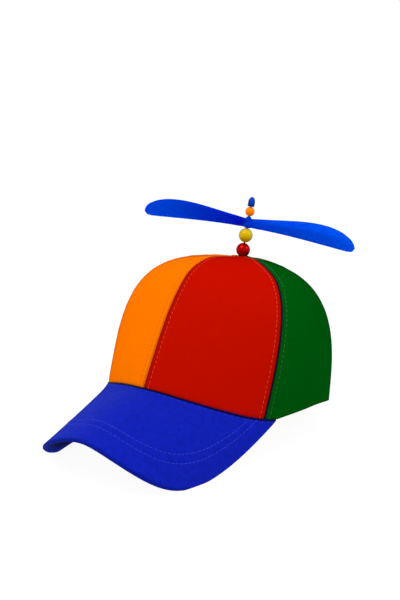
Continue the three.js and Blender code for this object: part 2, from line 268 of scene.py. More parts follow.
def arch_height(plan):
    """Height of the arched surface that the peak lies in and that cuts the front of the hem."""
    reached = np.maximum(forward_share(plan), 0)
    drop = arch_drop(np.abs(plan[..., 0] / TEMPLE_PLAN[0]))
    arch = 1 - (1 + PEAK_FAN * reached) * drop + PEAK_FAN * reached / 2
    return PEAK_ARCH * arch - PEAK_FALL * forward_share(plan)


def hem_height(angle, plan):
    back = (plan[..., 1] - TEMPLE_PLAN[1]) / (CROWN_HALF_LENGTH - TEMPLE_PLAN[1])
    behind = HEM_BACK_HEIGHT * back + HEM_SIDE_HEIGHT * 4 * back * (1 - back)
    return np.where(np.abs(angle) <= TEMPLE, pressed_seat(plan), behind)


def pressed_seat(plan):
    """The arched surface where the crown's hem is pressed into the peak's cloth."""
    inside_temples = 1 - np.clip(np.abs(plan[..., 0] / TEMPLE_PLAN[0]), 0, 1) ** 12
    return arch_height(plan) - HEM_PRESS * inside_temples


def around_crown(column, angle):
    """A column of the crown's profile at any angle, as the cosine series through its rows."""
    values = np.array([row[column] for row in CROWN_PROFILE])
    spans = len(values) - 1
    rows = np.arange(spans + 1)
    ends = np.where((rows == 0) | (rows == spans), 0.5, 1.0)
    total = 0
    for wave in rows:
        amount = 2 / spans * ends[wave] * np.sum(ends * values * np.cos(np.pi * wave * rows / spans))
        total = total + amount * np.cos(wave * angle)
    return total


def with_height(plan, height):
    return np.concatenate([plan, height[..., None]], axis=-1)


def crown_point(angle, share):
    """The crown's outer face: share 0 at the hem and 1 at the apex."""
    foot_plan = hem_plan(angle)
    foot_height = hem_height(angle, foot_plan)
    reach = np.linalg.norm(APEX[:2] - foot_plan, axis=-1)
    inward = unit(APEX[:2] - foot_plan)
    rise = (CROWN_HEIGHT - foot_height) * around_crown("upright", angle)
    flat = reach * around_crown("shoulder", angle)
    lean = np.tan(np.radians(around_crown("lean", angle))) * rise
    tilt = math.tan(APEX_SLOPE) * flat * np.cos(angle)
    foot = with_height(foot_plan, foot_height)
    lower = with_height(foot_plan + inward * lean[..., None], foot_height + rise)
    upper = with_height(APEX[:2] - inward * flat[..., None], CROWN_HEIGHT + tilt)
    t = share[..., None]
    point = (1 - t) ** 3 * foot + 3 * t * (1 - t) ** 2 * lower + 3 * t**2 * (1 - t) * upper + t**3 * APEX
    from_sag = np.linalg.norm(point[..., :2] - APEX[:2] - TOP_SAG_PLACE, axis=-1)
    point[..., 2] -= TOP_SAG * np.exp(-((from_sag / TOP_SAG_REACH) ** 2) / 2)
    from_mast = np.linalg.norm(point[..., :2] - APEX[:2], axis=-1)
    point[..., 2] += MAST_WELT * np.exp(-(((from_mast - MAST_WELT_RADIUS) / MAST_WELT_REACH) ** 2))
    return point


def peak_outline(turn):
    """The peak's free edge seen from above."""
    x = TEMPLE_PLAN[0] * signed_power(np.sin(turn), 2 / OUTLINE_POWER)
    y = TEMPLE_PLAN[1] - PEAK_REACH * np.abs(np.cos(turn)) ** (2 / OUTLINE_POWER)
    return np.stack([x, y], axis=-1)


def peak_plan(angle, share):
    """The peak laid flat, before its sides curl: share 0 at the hem, 1 at the free edge."""
    free = peak_outline(angle / TEMPLE * np.pi / 2)
    reach = np.maximum(share, 0)[..., None]
    return hem_inset(angle, np.maximum(-share, 0) * CLOTH_WALL) * (1 - reach) + free * reach


def peak_point(angle, share):
    """The peak's upper face, with its sides curled down and in towards the front corners."""
    plan = peak_plan(angle, share)
    across = np.abs(plan[..., 0] / TEMPLE_PLAN[0])
    outward = 1 - (1 - np.maximum(share, 0)) ** 2
    curl = np.sin(np.clip(forward_share(plan), 0, 1) * np.pi / 2) * across**CURL_POWER * outward
    height = arch_height(plan) - SEAT_GAP - CURL_DROP * curl - seat_dip(angle, share)
    on_left = plan[..., 0] > 0
    x = plan[..., 0] * (1 - np.where(on_left, CURL_TUCK, CURL_TUCK_RIGHT) * curl)
    y = plan[..., 1] + np.where(on_left, 0, CURL_PULL_RIGHT) * curl
    return np.stack([x, y, height], axis=-1)


def seat_dip(angle, share):
    """How far the peak's cloth is drawn down just in front of the hem, fading at the temples."""
    hem, free = hem_plan(angle), peak_outline(angle / TEMPLE * np.pi / 2)
    out = np.linalg.norm(free - hem, axis=-1) * np.maximum(share, 0) / SEAT_DIP_REACH
    inside_temples = 1 - np.abs(hem[..., 0] / TEMPLE_PLAN[0]) ** 8
    drawn = (SEAT_DROP + SEAT_DIP * math.e * out) * np.exp(-out)
    return drawn * np.maximum(inside_temples, 0)


def peak_down(angle, share):
    """The direction from the peak's upper face to its lower one."""
    step = 0.002
    along = peak_point(angle + step, share) - peak_point(angle - step, share)
    outward = peak_point(angle, share + step) - peak_point(angle, share - step)
    return unit(np.cross(along, outward))


# Relief of sewn cloth
def bell(distance, width):
    return np.exp(-((distance / width) ** 2))


def ripple(along, lengths, phase):
    """An uneven wave, made of a few even ones."""
    waves = [np.sin(2 * np.pi * along / length + phase * (turn + 1)) for turn, length in enumerate(lengths)]
    return sum(waves) / len(waves)


def cloth_drift(points):
    """The slight waviness of stiffened cloth, the same on both sides of a seam."""
    x, y, z = points[..., 0], points[..., 1], points[..., 2]
    slow = np.sin(71 * x + 38 * z + 0.6) * np.sin(54 * y - 29 * z)
    quick = np.sin(118 * x - 63 * y + 1.9) * np.sin(97 * z + 41 * y)
    return CLOTH_DRIFT * (0.65 * slow + 0.35 * quick)


def seam_relief(distance, along, phase):
    """Cloth beside a seam: rolled into it, raised over the turned edge, drawn in at the stitches."""
    roll = -SEAM_DIP * bell(distance, SEAM_ROLL)
    turned = TURNED_EDGE_LIFT * bell(distance - STITCH_INSET / 2, STITCH_INSET / 2)
    groove = -STITCH_DRAW * bell(distance - STITCH_INSET, STITCH_GROOVE)
    pucker = PUCKER_LIFT * ripple(along, (7.3 * MM, 11.9 * MM, 18.7 * MM), phase)
    return roll + turned + groove + pucker * bell(distance - STITCH_INSET, PUCKER_REACH)


def hem_roll(along):
    """How far a face draws back to the middle of the wall where the cloth is folded at the hem."""
    radius = CLOTH_WALL / 2
    fold = np.clip(1 - along / radius, 0, 1)
    return radius * (1 - np.sqrt(1 - fold**2))


# Panels of the crown
def lengths_along(points, axis):
    """Length of the way along one axis of a grid of points."""
    steps = np.linalg.norm(np.diff(points, axis=axis), axis=-1)
    start = np.zeros_like(np.take(steps, [0], axis=axis))
    return np.concatenate([start, np.cumsum(steps, axis=axis)], axis=axis)


def read_columns(places, wanted, values):
    """Reads a table's values at wanted places, one column of the table after another."""
    def read(c, k):
        return np.interp(wanted[:, c], places[:, c], values[:, c, k])

    columns, facts = range(values.shape[1]), range(values.shape[-1])
    return np.stack([np.stack([read(c, k) for k in facts], axis=-1) for c in columns], axis=1)


def eased(places, values, wanted):
    """A smooth line through a short table, with the slopes of its neighbours at each row."""
    slopes = np.gradient(values, places)
    spot = np.clip(np.searchsorted(places, wanted) - 1, 0, len(places) - 2)
    width = places[spot + 1] - places[spot]
    t = (wanted - places[spot]) / width
    start, end = values[spot], values[spot + 1]
    rise, fall = slopes[spot] * width, slopes[spot + 1] * width
    return (
        (2 * t**3 - 3 * t**2 + 1) * start + (t**3 - 2 * t**2 + t) * rise
        + (3 * t**2 - 2 * t**3) * end + (t**3 - t**2) * fall
    )


def seam_wander(seam, shares):
    """The turn of a seam away from its plain angle, at shares of the way up."""
    places, turns = np.array(SEAM_WANDER[seam], float).T
    return np.radians(eased(places, turns, shares))


HEM_STEPS = np.array([0, 0.07, 0.25, 0.55, 0.85, 1.2, 1.8, 2.6, 3.6]) * MM
PANEL_ROWS = 112


def lay_out_panel(first, last):
    """A panel's cloth as a table: rows run up from the hem, fine steps run round the crown."""
    shares = np.linspace(0, 1, 261)
    over = np.linspace(0, 1, 141)[:, None]
    first_edge, last_edge = (math.radians(seam) + seam_wander(seam, shares) for seam in (first, last))
    angles = first_edge * (1 - over) + last_edge * over
    ribs = crown_point(angles, np.broadcast_to(shares, angles.shape))
    climbs = lengths_along(ribs, 1)
    away = np.linalg.norm(ribs[..., :2] - APEX[:2], axis=-1)
    tops = np.array([np.interp(-EYELET_RADIUS, -a, climb) for a, climb in zip(away, climbs)])
    spread = np.linspace(0, 1, PANEL_ROWS)[1:]
    upper = HEM_STEPS[-1] + (tops[:, None] - HEM_STEPS[-1]) * spread
    climb = np.concatenate([np.broadcast_to(HEM_STEPS, (len(angles), len(HEM_STEPS))), upper], axis=1)
    points = read_columns(climbs.T, climb.T, ribs.transpose(1, 0, 2)).transpose(1, 0, 2)
    out = unit(np.cross(np.gradient(points, axis=0), np.gradient(points, axis=1)))
    return {"points": points, "out": out, "climb": climb, "across": lengths_along(points, 0)}


SEAM_STEPS = np.array([0, 0.25, 0.55, 0.9, 1.35, 1.9, 2.6, 3.3, 3.9, 4.3, 4.7, 5.3, 6.2, 7.5]) * MM
PANEL_MIDDLE_COLUMNS = 44


def panel_columns(widths):
    """Distances from a panel's first seam at which its columns run, close together at both seams."""
    shrink = np.minimum(1, 0.36 * widths / SEAM_STEPS[-1])
    near = SEAM_STEPS[:, None] * shrink
    middle = np.linspace(0, 1, PANEL_MIDDLE_COLUMNS)[1:-1, None]
    inner = near[-1] + (widths - 2 * near[-1]) * middle
    return np.concatenate([near, inner, widths - near[::-1]], axis=0)


def cloth_at(table, distances):
    """Points, directions out and climbs of a laid-out panel at distances from its first seam."""
    facts = np.concatenate([table["points"], table["out"], table["climb"][..., None]], axis=-1)
    read = read_columns(table["across"], distances, facts)
    return read[..., :3], unit(read[..., 3:6]), read[..., 6]


def panel_relief(points, distances, widths, climb, phase):
    """A panel's relief between its two seams, with its hem tucked in over the peak."""
    left = seam_relief(distances, climb, phase)
    right = seam_relief(widths - distances, climb, phase + 2.1)
    over_peak = np.clip((TEMPLE_PLAN[1] - points[..., 1]) / HEM_TUCK_START, 0, 1)
    tuck = HEM_TUCK * bell(climb, HEM_TUCK_REACH) * over_peak
    return left + right + cloth_drift(points) - tuck


def ring_faces(columns, ring):
    """Faces of a closed wall whose section is a ring of points, and of its two folded ends."""
    faces = []
    for column in range(columns - 1):
        here, there = column * ring, (column + 1) * ring
        for step in range(ring):
            after = (step + 1) % ring
            faces.append((here + step, there + step, there + after, here + after))
    half = ring // 2
    for start, forward in ((0, True), ((columns - 1) * ring, False)):
        ends = [(start, start + 1, start + ring - 1)]
        for step in range(1, half):
            far = ring - step
            ends.append((start + step, start + step + 1, start + far - 1, start + far))
        faces += ends if forward else [face[::-1] for face in ends]
    return [tuple(dict.fromkeys(face)) for face in faces]


def piece_from(name, points, faces, material, uv=None, values=None):
    """A smooth mesh piece with its cloth map in metres and its named values per point."""
    mesh = bpy.data.meshes.new(name)
    mesh.from_pydata(np.asarray(points).reshape(-1, 3).tolist(), [], faces)
    if uv is not None:
        corners = np.zeros(len(mesh.loops), int)
        mesh.loops.foreach_get("vertex_index", corners)
        layer = mesh.uv_layers.new(name="cloth")
        layer.data.foreach_set("uv", uv.reshape(-1, 2)[corners].astype(np.float32).ravel())
    for key, value in (values or {}).items():
        attribute = mesh.attributes.new(key, "FLOAT", "POINT")
        attribute.data.foreach_set("value", value.astype(np.float32).ravel())
    mesh.shade_smooth()
    mesh.materials.append(material)
    piece = bpy.data.objects.new(name, mesh)
    bpy.context.scene.collection.objects.link(piece)
    return piece


def panel_piece(name, table, phase, material):
    widths = table["across"][-1]
    distances = panel_columns(widths)
    points, out, climb = cloth_at(table, distances)
    relief = panel_relief(points, distances, widths, climb, phase)
    roll = hem_roll(climb)
    outer = points + out * (relief - roll)[..., None]
    inner = points + out * (0.5 * relief - CLOTH_WALL + roll)[..., None]
    wall = np.concatenate([outer, inner[:, :0:-1]], axis=1)
    over_peak = wall[..., 1] < TEMPLE_PLAN[1]
    seat = pressed_seat(wall[..., :2])
    wall[..., 2] = np.where(over_peak, np.maximum(wall[..., 2], seat), wall[..., 2])
    across = distances - widths / 2
    grain = np.stack([across, climb], axis=-1)
    from_seam = np.minimum(distances, widths - distances)

    def both_faces(values):
        return np.concatenate([values, values[:, :0:-1]], axis=1)

    # Distances from the seams and the hem, which the cloth's painted shade reads
    values = {"from_seam": both_faces(from_seam), "from_fold": both_faces(climb)}
    faces = ring_faces(wall.shape[0], wall.shape[1])
    return piece_from(name, stand(wall), faces, material, both_faces(grain), values)


def seam_path(table, phase, inset, first_side, lift, trim):
    """A line on a panel's cloth beside one of its seams, from the hem to near the apex."""
    widths = table["across"][-1]
    distance = np.minimum(inset, 0.42 * widths)
    places = distance if first_side else widths - distance
    points, out, climb = cloth_at(table, places[None, :])
    relief = panel_relief(points, places[None, :], widths, climb, phase)
    line = points + out * (relief + lift)[..., None]
    stood = stand(line[0])
    keep = (climb[0] > trim) & (climb[0] < climb[0, -1] - 0.8 * MM) & (stood[:, 2] > FLOOR_CLEARANCE)
    return {"points": stood[keep], "out": (out[0] @ cap_turn.T)[keep]}


# Peak
PEAK_COLUMNS = 211
PEAK_UPPER_ROWS = 116
PEAK_LOWER_ROWS = 44
PEAK_EDGE_STEPS = 12
PEAK_MARGIN_SHARE = -0.85
PEAK_ROW_DRAW = 0.16 * MM
PEAK_ROW_GROOVE = 1.1 * MM
PEAK_QUILT_LIFT = 0.14 * MM
EDGE_CREASE = 0.22 * MM


def peak_ring(angle, share):
    """How far out a place lies on the peak: 1 on its outline, less on smaller copies of it."""
    plan = peak_plan(angle, share)
    x = np.abs(plan[..., 0] / TEMPLE_PLAN[0])
    y = np.maximum(forward_share(plan), 0)
    return (x**OUTLINE_POWER + y**OUTLINE_POWER) ** (1 / OUTLINE_POWER)


def row_narrowing(angle):
    """How far the rows of stitches draw in from the outline towards the wearer's right."""
    return PEAK_ROWS_NARROWING * np.clip(0.4 - angle / TEMPLE, 0, 1)


def peak_relief(angle, share, points):
    """Cloth over the peak's board: drawn in at both rows of stitches and padded between them."""
    ring = (peak_ring(angle, share) + row_narrowing(angle)) * PEAK_REACH
    outer, inner = (row * PEAK_REACH for row in PEAK_ROWS)
    grooves = bell(ring - outer, PEAK_ROW_GROOVE) + bell(ring - inner, PEAK_ROW_GROOVE)
    quilt = bell(ring - (outer + inner) / 2, (outer - inner) / 3)
    pucker = ripple(angle * CROWN_HALF_LENGTH, (8.3 * MM, 13.1 * MM, 21 * MM), 1.3)
    near_rows = bell(ring - (outer + inner) / 2, 9 * MM)
    return (
        PEAK_QUILT_LIFT * quilt
        - PEAK_ROW_DRAW * grooves
        + 0.6 * PUCKER_LIFT * pucker * near_rows
        + 0.5 * cloth_drift(points)
    )


def peak_piece(name, material):
    radius = PEAK_THICKNESS / 2
    angles = np.linspace(-TEMPLE, TEMPLE, PEAK_COLUMNS)[:, None] * PEAK_END
    hem, free = peak_point(angles, np.zeros_like(angles)), peak_point(angles, np.ones_like(angles))
    reach = np.linalg.norm(free - hem, axis=-1)
    edge_share = np.minimum(radius / reach, 0.45)
    core = 1 - edge_share + PEAK_SPREAD / np.maximum(reach, PEAK_SPREAD_FROM)
    upper = PEAK_MARGIN_SHARE + (core - PEAK_MARGIN_SHARE) * np.linspace(0, 1, PEAK_UPPER_ROWS)
    lower = PEAK_MARGIN_SHARE + (core - PEAK_MARGIN_SHARE) * np.linspace(0, 1, PEAK_LOWER_ROWS)
    bend = np.linspace(0, np.pi, PEAK_EDGE_STEPS + 1)[1:-1]
    crease = EDGE_CREASE * bell(bend - np.pi / 2, 0.25)
    edge = core + edge_share * np.sin(bend) * (1 - crease / radius)
    edge_depth = radius * (1 - np.cos(bend))
    shares = np.concatenate([lower, edge[:, ::-1], upper[:, ::-1]], axis=1)
    lower_depth, upper_depth = np.full(PEAK_LOWER_ROWS, 2 * radius), np.zeros(PEAK_UPPER_ROWS)
    depths = np.concatenate([lower_depth, edge_depth[::-1], upper_depth])
    angle_grid = np.broadcast_to(angles, shares.shape)
    points = peak_point(angle_grid, shares)
    down = peak_down(angle_grid, shares)
    relief = peak_relief(angle_grid, shares, points)
    on_top = 1 - depths / (2 * radius)
    wall = points + down * (depths - relief * on_top)[..., None]
    plan = peak_plan(angle_grid, shares)
    from_fold = np.maximum(1 - shares, 0) * reach
    # The cloth map on the under face runs on from the fold, so the weave doesn't smear there
    side = np.where(on_top < 0.5, 1, 0)
    uv = np.stack([plan[..., 0], plan[..., 1] + side * 2 * PEAK_REACH], axis=-1)
    # Painted shade on the peak's under face, starting a little way in from its fold
    inward = np.clip((core - shares) * reach / UNDER_SHADE_REACH - 1, 0, 1)
    under = side * inward * inward * (3 - 2 * inward)
    # Distances from the hem joint and from the free edge, which the cloth's painted shade reads
    values = {"from_seam": np.maximum(shares, 0) * reach, "from_fold": from_fold, "under": under}
    faces = ring_faces(shares.shape[0], shares.shape[1])
    return piece_from(name, stand(wall), faces, material, uv, values)


def peak_path(angle, share, lift):
    """A line on the peak's cloth, kept clear of the floor."""
    points = peak_point(angle, share)
    up = -peak_down(angle, share)
    stood = stand(points + up * (peak_relief(angle, share, points) + lift)[..., None])
    keep = stood[:, 2] > FLOOR_CLEARANCE
    return {"points": stood[keep], "out": (up @ cap_turn.T)[keep]}


def peak_row_path(row, trim):
    """A row of stitches on the peak: where a smaller copy of its outline crosses each column."""
    angles = np.linspace(-TEMPLE, TEMPLE, 401) * PEAK_END
    shares = np.linspace(0, 1, 201)
    angle_grid, share_grid = np.meshgrid(angles, shares, indexing="ij")
    ring = peak_ring(angle_grid, share_grid) + row_narrowing(angle_grid)
    found = np.array([np.interp(row, r, shares, left=-1) for r in ring])
    sewn = found > trim
    return peak_path(angles[sewn], found[sewn], 0)


def peak_joint_path(inset, lift):
    """A line on the peak's cloth just in front of the crown's hem."""
    angle = np.linspace(-TEMPLE, TEMPLE, 301) * 0.985
    hem, free = peak_point(angle, np.zeros_like(angle)), peak_point(angle, np.ones_like(angle))
    return peak_path(angle, inset / np.linalg.norm(free - hem, axis=-1), lift)


# Node trees
def add_node(tree, kind, inputs=None, **settings):
    """Adds a node with its settings, then fills its inputs with values or links."""
    made = tree.nodes.new(kind)
    for key, value in settings.items():
        setattr(made, key, value)
    for key, value in (inputs or {}).items():
        if isinstance(value, bpy.types.NodeSocket):
            tree.links.new(value, made.inputs[key])
        else:
            made.inputs[key].default_value = value
    return made


def calc(tree, operation, *values):
    inputs = dict(enumerate(values))
    return add_node(tree, "ShaderNodeMath", inputs, operation=operation).outputs[0]


def new_tree(name, kind, inputs, outputs):
    """A node tree with named inputs and outputs: (name, socket type, value or None)."""
    tree = bpy.data.node_groups.new(name, kind)
    for label, socket_type, value in inputs:
        socket = tree.interface.new_socket(name=label, in_out="INPUT", socket_type=socket_type)
        if value is not None:
            socket.default_value = value
    for label, socket_type in outputs:
        tree.interface.new_socket(name=label, in_out="OUTPUT", socket_type=socket_type)
    return tree, tree.nodes.new("NodeGroupInput").outputs, tree.nodes.new("NodeGroupOutput").inputs


FLOAT, COLOUR, VECTOR = "NodeSocketFloat", "NodeSocketColor", "NodeSocketVector"
GEOMETRY, MATERIAL, INTEGER = "NodeSocketGeometry", "NodeSocketMaterial", "NodeSocketInt"


def even_path(tree, given, step):
    """The path that a sewing tree is given, as a curve in even steps."""
    curve = add_node(tree, "GeometryNodeMeshToCurve", {"Mesh": given["Path"]}).outputs[0]
    inputs = {"Curve": curve, "Length": given[step]}
    return add_node(tree, "GeometryNodeResampleCurve", inputs, mode="LENGTH").outputs[0]


def round_thread(tree, given, line, sides):
    """Closed round thread along a curve."""
    section = add_node(tree, "GeometryNodeCurvePrimitiveCircle", {
        "Resolution": sides, "Radius": given["Thread radius"],
    })
    return add_node(tree, "GeometryNodeCurveToMesh", {
        "Curve": line, "Profile Curve": section.outputs[0], "Fill Caps": True,
    }).outputs[0]


def finish_sewing(tree, given, laid, sewn):
    """Ends a sewing tree with real, smooth geometry in its thread's material."""
    real = add_node(tree, "GeometryNodeRealizeInstances", {"Geometry": laid}).outputs[0]
    smooth = add_node(tree, "GeometryNodeSetShadeSmooth", {"Geometry": real}).outputs[0]
    inputs = {"Geometry": smooth, "Material": given["Thread"]}
    tree.links.new(add_node(tree, "GeometryNodeSetMaterial", inputs).outputs[0], sewn)
    return tree


def stitching_tree():
    """A row of thread stitches along a path, each one a bowed strand that dives into the cloth."""
    tree, given, result = new_tree("Topstitching", "GeometryNodeTree", [
        ("Path", GEOMETRY, None),
        ("Pitch", FLOAT, 4 * MM),
        ("Stitch length", FLOAT, 2.8 * MM),
        ("Thread radius", FLOAT, 0.3 * MM),
        ("Rise", FLOAT, 0.45 * MM),
        ("Sink", FLOAT, 0.3 * MM),
        ("Slant", FLOAT, 0.1),
        ("Unevenness", FLOAT, 0.05),
        ("Thread", MATERIAL, None),
        ("Seed", INTEGER, 1),
    ], [("Stitches", GEOMETRY)])
    marks = even_path(tree, given, "Pitch")
    half = calc(tree, "MULTIPLY", given["Stitch length"], 0.5)
    handle = calc(tree, "MULTIPLY", given["Stitch length"], 0.3)
    down = calc(tree, "MULTIPLY", given["Sink"], -1)

    def place(x, z):
        return add_node(tree, "ShaderNodeCombineXYZ", {"X": x, "Z": z}).outputs[0]

    strand = add_node(tree, "GeometryNodeCurvePrimitiveBezierSegment", {
        "Resolution": 7,
        "Start": place(calc(tree, "MULTIPLY", half, -1), down),
        "Start Handle": place(calc(tree, "MULTIPLY", handle, -1), given["Rise"]),
        "End Handle": place(handle, given["Rise"]),
        "End": place(half, down),
    })
    stitch = round_thread(tree, given, strand.outputs[0], 6)
    out = add_node(
        tree, "GeometryNodeInputNamedAttribute", {"Name": "out"}, data_type="FLOAT_VECTOR",
    ).outputs[0]
    tangent = add_node(tree, "GeometryNodeInputTangent").outputs[0]
    lengthwise = add_node(tree, "FunctionNodeAlignRotationToVector", {"Vector": tangent}, axis="X")
    upright = add_node(
        tree, "FunctionNodeAlignRotationToVector",
        {"Rotation": lengthwise.outputs[0], "Vector": out}, axis="Z", pivot_axis="X",
    )
    uneven = add_node(tree, "FunctionNodeRandomValue", {
        "Min": calc(tree, "MULTIPLY", given["Unevenness"], -1),
        "Max": given["Unevenness"],
        "Seed": given["Seed"],
    }, data_type="FLOAT")
    random_slant = [socket for socket in uneven.outputs if socket.enabled][0]
    slant = calc(tree, "ADD", given["Slant"], random_slant)
    twist = add_node(tree, "FunctionNodeAxisAngleToRotation", {"Axis": (0, 0, 1), "Angle": slant})
    turned = add_node(
        tree, "FunctionNodeRotateRotation",
        {"Rotation": upright.outputs[0], "Rotate By": twist.outputs[0]}, rotation_space="LOCAL",
    )
    row = add_node(tree, "GeometryNodeInstanceOnPoints", {
        "Points": marks, "Instance": stitch, "Rotation": turned.outputs[0],
    })
    return finish_sewing(tree, given, row.outputs[0], result["Stitches"])


def cording_tree():
    """A round thread laid along a path, as in the bottom of a seam."""
    tree, given, result = new_tree("Seam thread", "GeometryNodeTree", [
        ("Path", GEOMETRY, None),
        ("Thread radius", FLOAT, 0.4 * MM),
        ("Step", FLOAT, 1.5 * MM),
        ("Thread", MATERIAL, None),
    ], [("Cord", GEOMETRY)])
    cord = round_thread(tree, given, even_path(tree, given, "Step"), 8)
    return finish_sewing(tree, given, cord, result["Cord"])


def sewn_piece(name, paths, tree, settings):
    """A plain mesh of what a sewing tree lays along one or more paths."""
    points = np.concatenate([path["points"] for path in paths])
    outs = np.concatenate([path["out"] for path in paths])
    edges, start = [], 0
    for path in paths:
        count = len(path["points"])
        edges += [(start + step, start + step + 1) for step in range(count - 1)]
        start += count
    mesh = bpy.data.meshes.new(name + "_path")
    mesh.from_pydata(points.tolist(), edges, [])
    attribute = mesh.attributes.new("out", "FLOAT_VECTOR", "POINT")
    attribute.data.foreach_set("vector", outs.astype(np.float32).ravel())
    guide = bpy.data.objects.new(name + "_path", mesh)
    bpy.context.scene.collection.objects.link(guide)
    modifier = guide.modifiers.new("sewing", "NODES")
    modifier.node_group = tree
    sockets = {item.name: item.identifier for item in tree.interface.items_tree if item.in_out == "INPUT"}
    for label, value in settings.items():
        modifier[sockets[label]] = value
    bpy.context.view_layer.update()
    evaluated = guide.evaluated_get(bpy.context.evaluated_depsgraph_get())
    sewn = bpy.data.meshes.new_from_object(evaluated)
    bpy.data.objects.remove(guide)
    sewn.name = name
    if not sewn.materials:
        sewn.materials.append(settings["Thread"])
    piece = bpy.data.objects.new(name, sewn)
    bpy.context.scene.collection.objects.link(piece)
    return piece


# Turned pieces of the mast
ROUND_SIDES = 56


def turned_piece(name, profile, height, material, shade_reach=0):
    """A round piece from a profile of radius and height, in order round the section."""
    radii, heights = np.array(profile).T
    turns = np.linspace(0, 2 * np.pi, ROUND_SIDES, endpoint=False)[:, None]
    points = np.stack([radii * np.cos(turns), radii * np.sin(turns), heights + 0 * turns], axis=-1)
    rows = len(radii)
    faces = []
    for side in range(ROUND_SIDES):
        here, there = side * rows, (side + 1) % ROUND_SIDES * rows
        for row in range(rows - 1):
            faces.append((here + row, there + row, there + row + 1, here + row + 1))
    # Painted shade at the piece's foot, fading over the given reach
    from_foot = points[..., 2] - heights.min()
    deep_shade = np.clip(1 - from_foot / shade_reach, 0, 1) if shade_reach else 0 * from_foot
    values = {"deep_shade": deep_shade}
    piece = piece_from(name, up_the_mast(points, height), faces, material, values=values)
    tidy_mesh(piece.data)
    return piece


def tidy_mesh(mesh):
    """Merges doubled points and turns every face outwards."""
    work = bmesh.new()
    work.from_mesh(mesh)
    bmesh.ops.remove_doubles(work, verts=work.verts, dist=0.002 * MM)
    bmesh.ops.dissolve_degenerate(work, edges=work.edges, dist=0.001 * MM)
    bmesh.ops.recalc_face_normals(work, faces=work.faces)
    work.to_mesh(mesh)
    work.free()
    mesh.shade_smooth()


def arc(centre, radius, start, end, steps):
    """Points of radius and height on part of a circle, with angles from the radial direction."""
    turns = np.radians(np.linspace(start, end, steps + 1))
    return [(centre[0] + radius * math.cos(t), centre[1] + radius * math.sin(t)) for t in turns]


def bead_profile(radius):
    lip = 0.35 * MM
    edge = math.degrees(math.acos((BORE_RADIUS + lip) / radius))
    mouth = radius * math.sin(math.radians(edge)) - lip
    return [
        (BORE_RADIUS, -mouth),
        *arc((BORE_RADIUS + lip, -mouth), lip, 180, 270, 4),
        *arc((0, 0), radius, -edge + 2, edge - 2, 36),
        *arc((BORE_RADIUS + lip, mouth), lip, 90, 180, 4),
        (BORE_RADIUS, mouth),
        (BORE_RADIUS, -mouth),
    ]


def mast_cap_profile():
    lip = 0.35 * MM
    nose = 1.55 * MAST_CAP_RADIUS
    shoulder = MAST_CAP_LENGTH - nose
    turns = np.linspace(0, math.pi / 2, 20)
    return [
        (0, MAST_CAP_BORE),
        (BORE_RADIUS, MAST_CAP_BORE),
        (BORE_RADIUS, lip),
        *arc((BORE_RADIUS + lip, lip), lip, 180, 270, 4),
        *arc((MAST_CAP_RADIUS - lip, lip), lip, -90, 0, 4),
        *[(MAST_CAP_RADIUS * math.cos(t) ** 0.9, shoulder + nose * math.sin(t) ** 1.1) for t in turns],
    ]


def hub_profile():
    half = HUB_LENGTH / 2
    foot = HUB_FOOT_TRIM - half
    lip = 0.3 * MM
    dome = HUB_RADIUS - HUB_NECK + 0.9 * MM
    waist = HUB_RADIUS + HUB_SWELL
    return [
        (BORE_RADIUS, foot + lip),
        *arc((BORE_RADIUS + lip, foot + lip), lip, 180, 270, 4),
        *arc((waist - lip, foot + lip), lip, -90, 0, 4),
        (waist, 0),
        *arc((waist - dome * 0.62, half - dome), dome * 0.62, 0, 62, 8),
        *arc((BORE_RADIUS + lip, half - lip), lip, 80, 180, 4),
        (BORE_RADIUS, half - lip),
        (BORE_RADIUS, foot + lip),
    ]


# Propeller
BLADE_STEPS = 76
BLADE_SECTION = 40
BLADE_ROOT_PLACE = 0.018
TIP_ROUND = 0.022
# Reach of the painted shade colour out from the hub, as a share of the span
DEEP_SHADE_REACH = 0.78


BLADE_OUTLINE = {key: np.array([row[key] for row in BLADE_STATIONS]) for key in BLADE_STATIONS[0]}

# Painted shade and a painted lighter band on the propeller: how deep each one is, and where it starts as a
# share of the blade
TOP_SHADE = 0.95
RIDGE_SHADE = 0.12
RIDGE_CLEARING = 0.5
RIDGE_WIDTH = 0.35
RIM_SHADE = 0.6
RIM_START = 0.84
RIM_WIDTH = 0.12
HUB_SHADE = 0.75
HUB_DEPTH = 0.35
TOP_CLEARING = 0.75


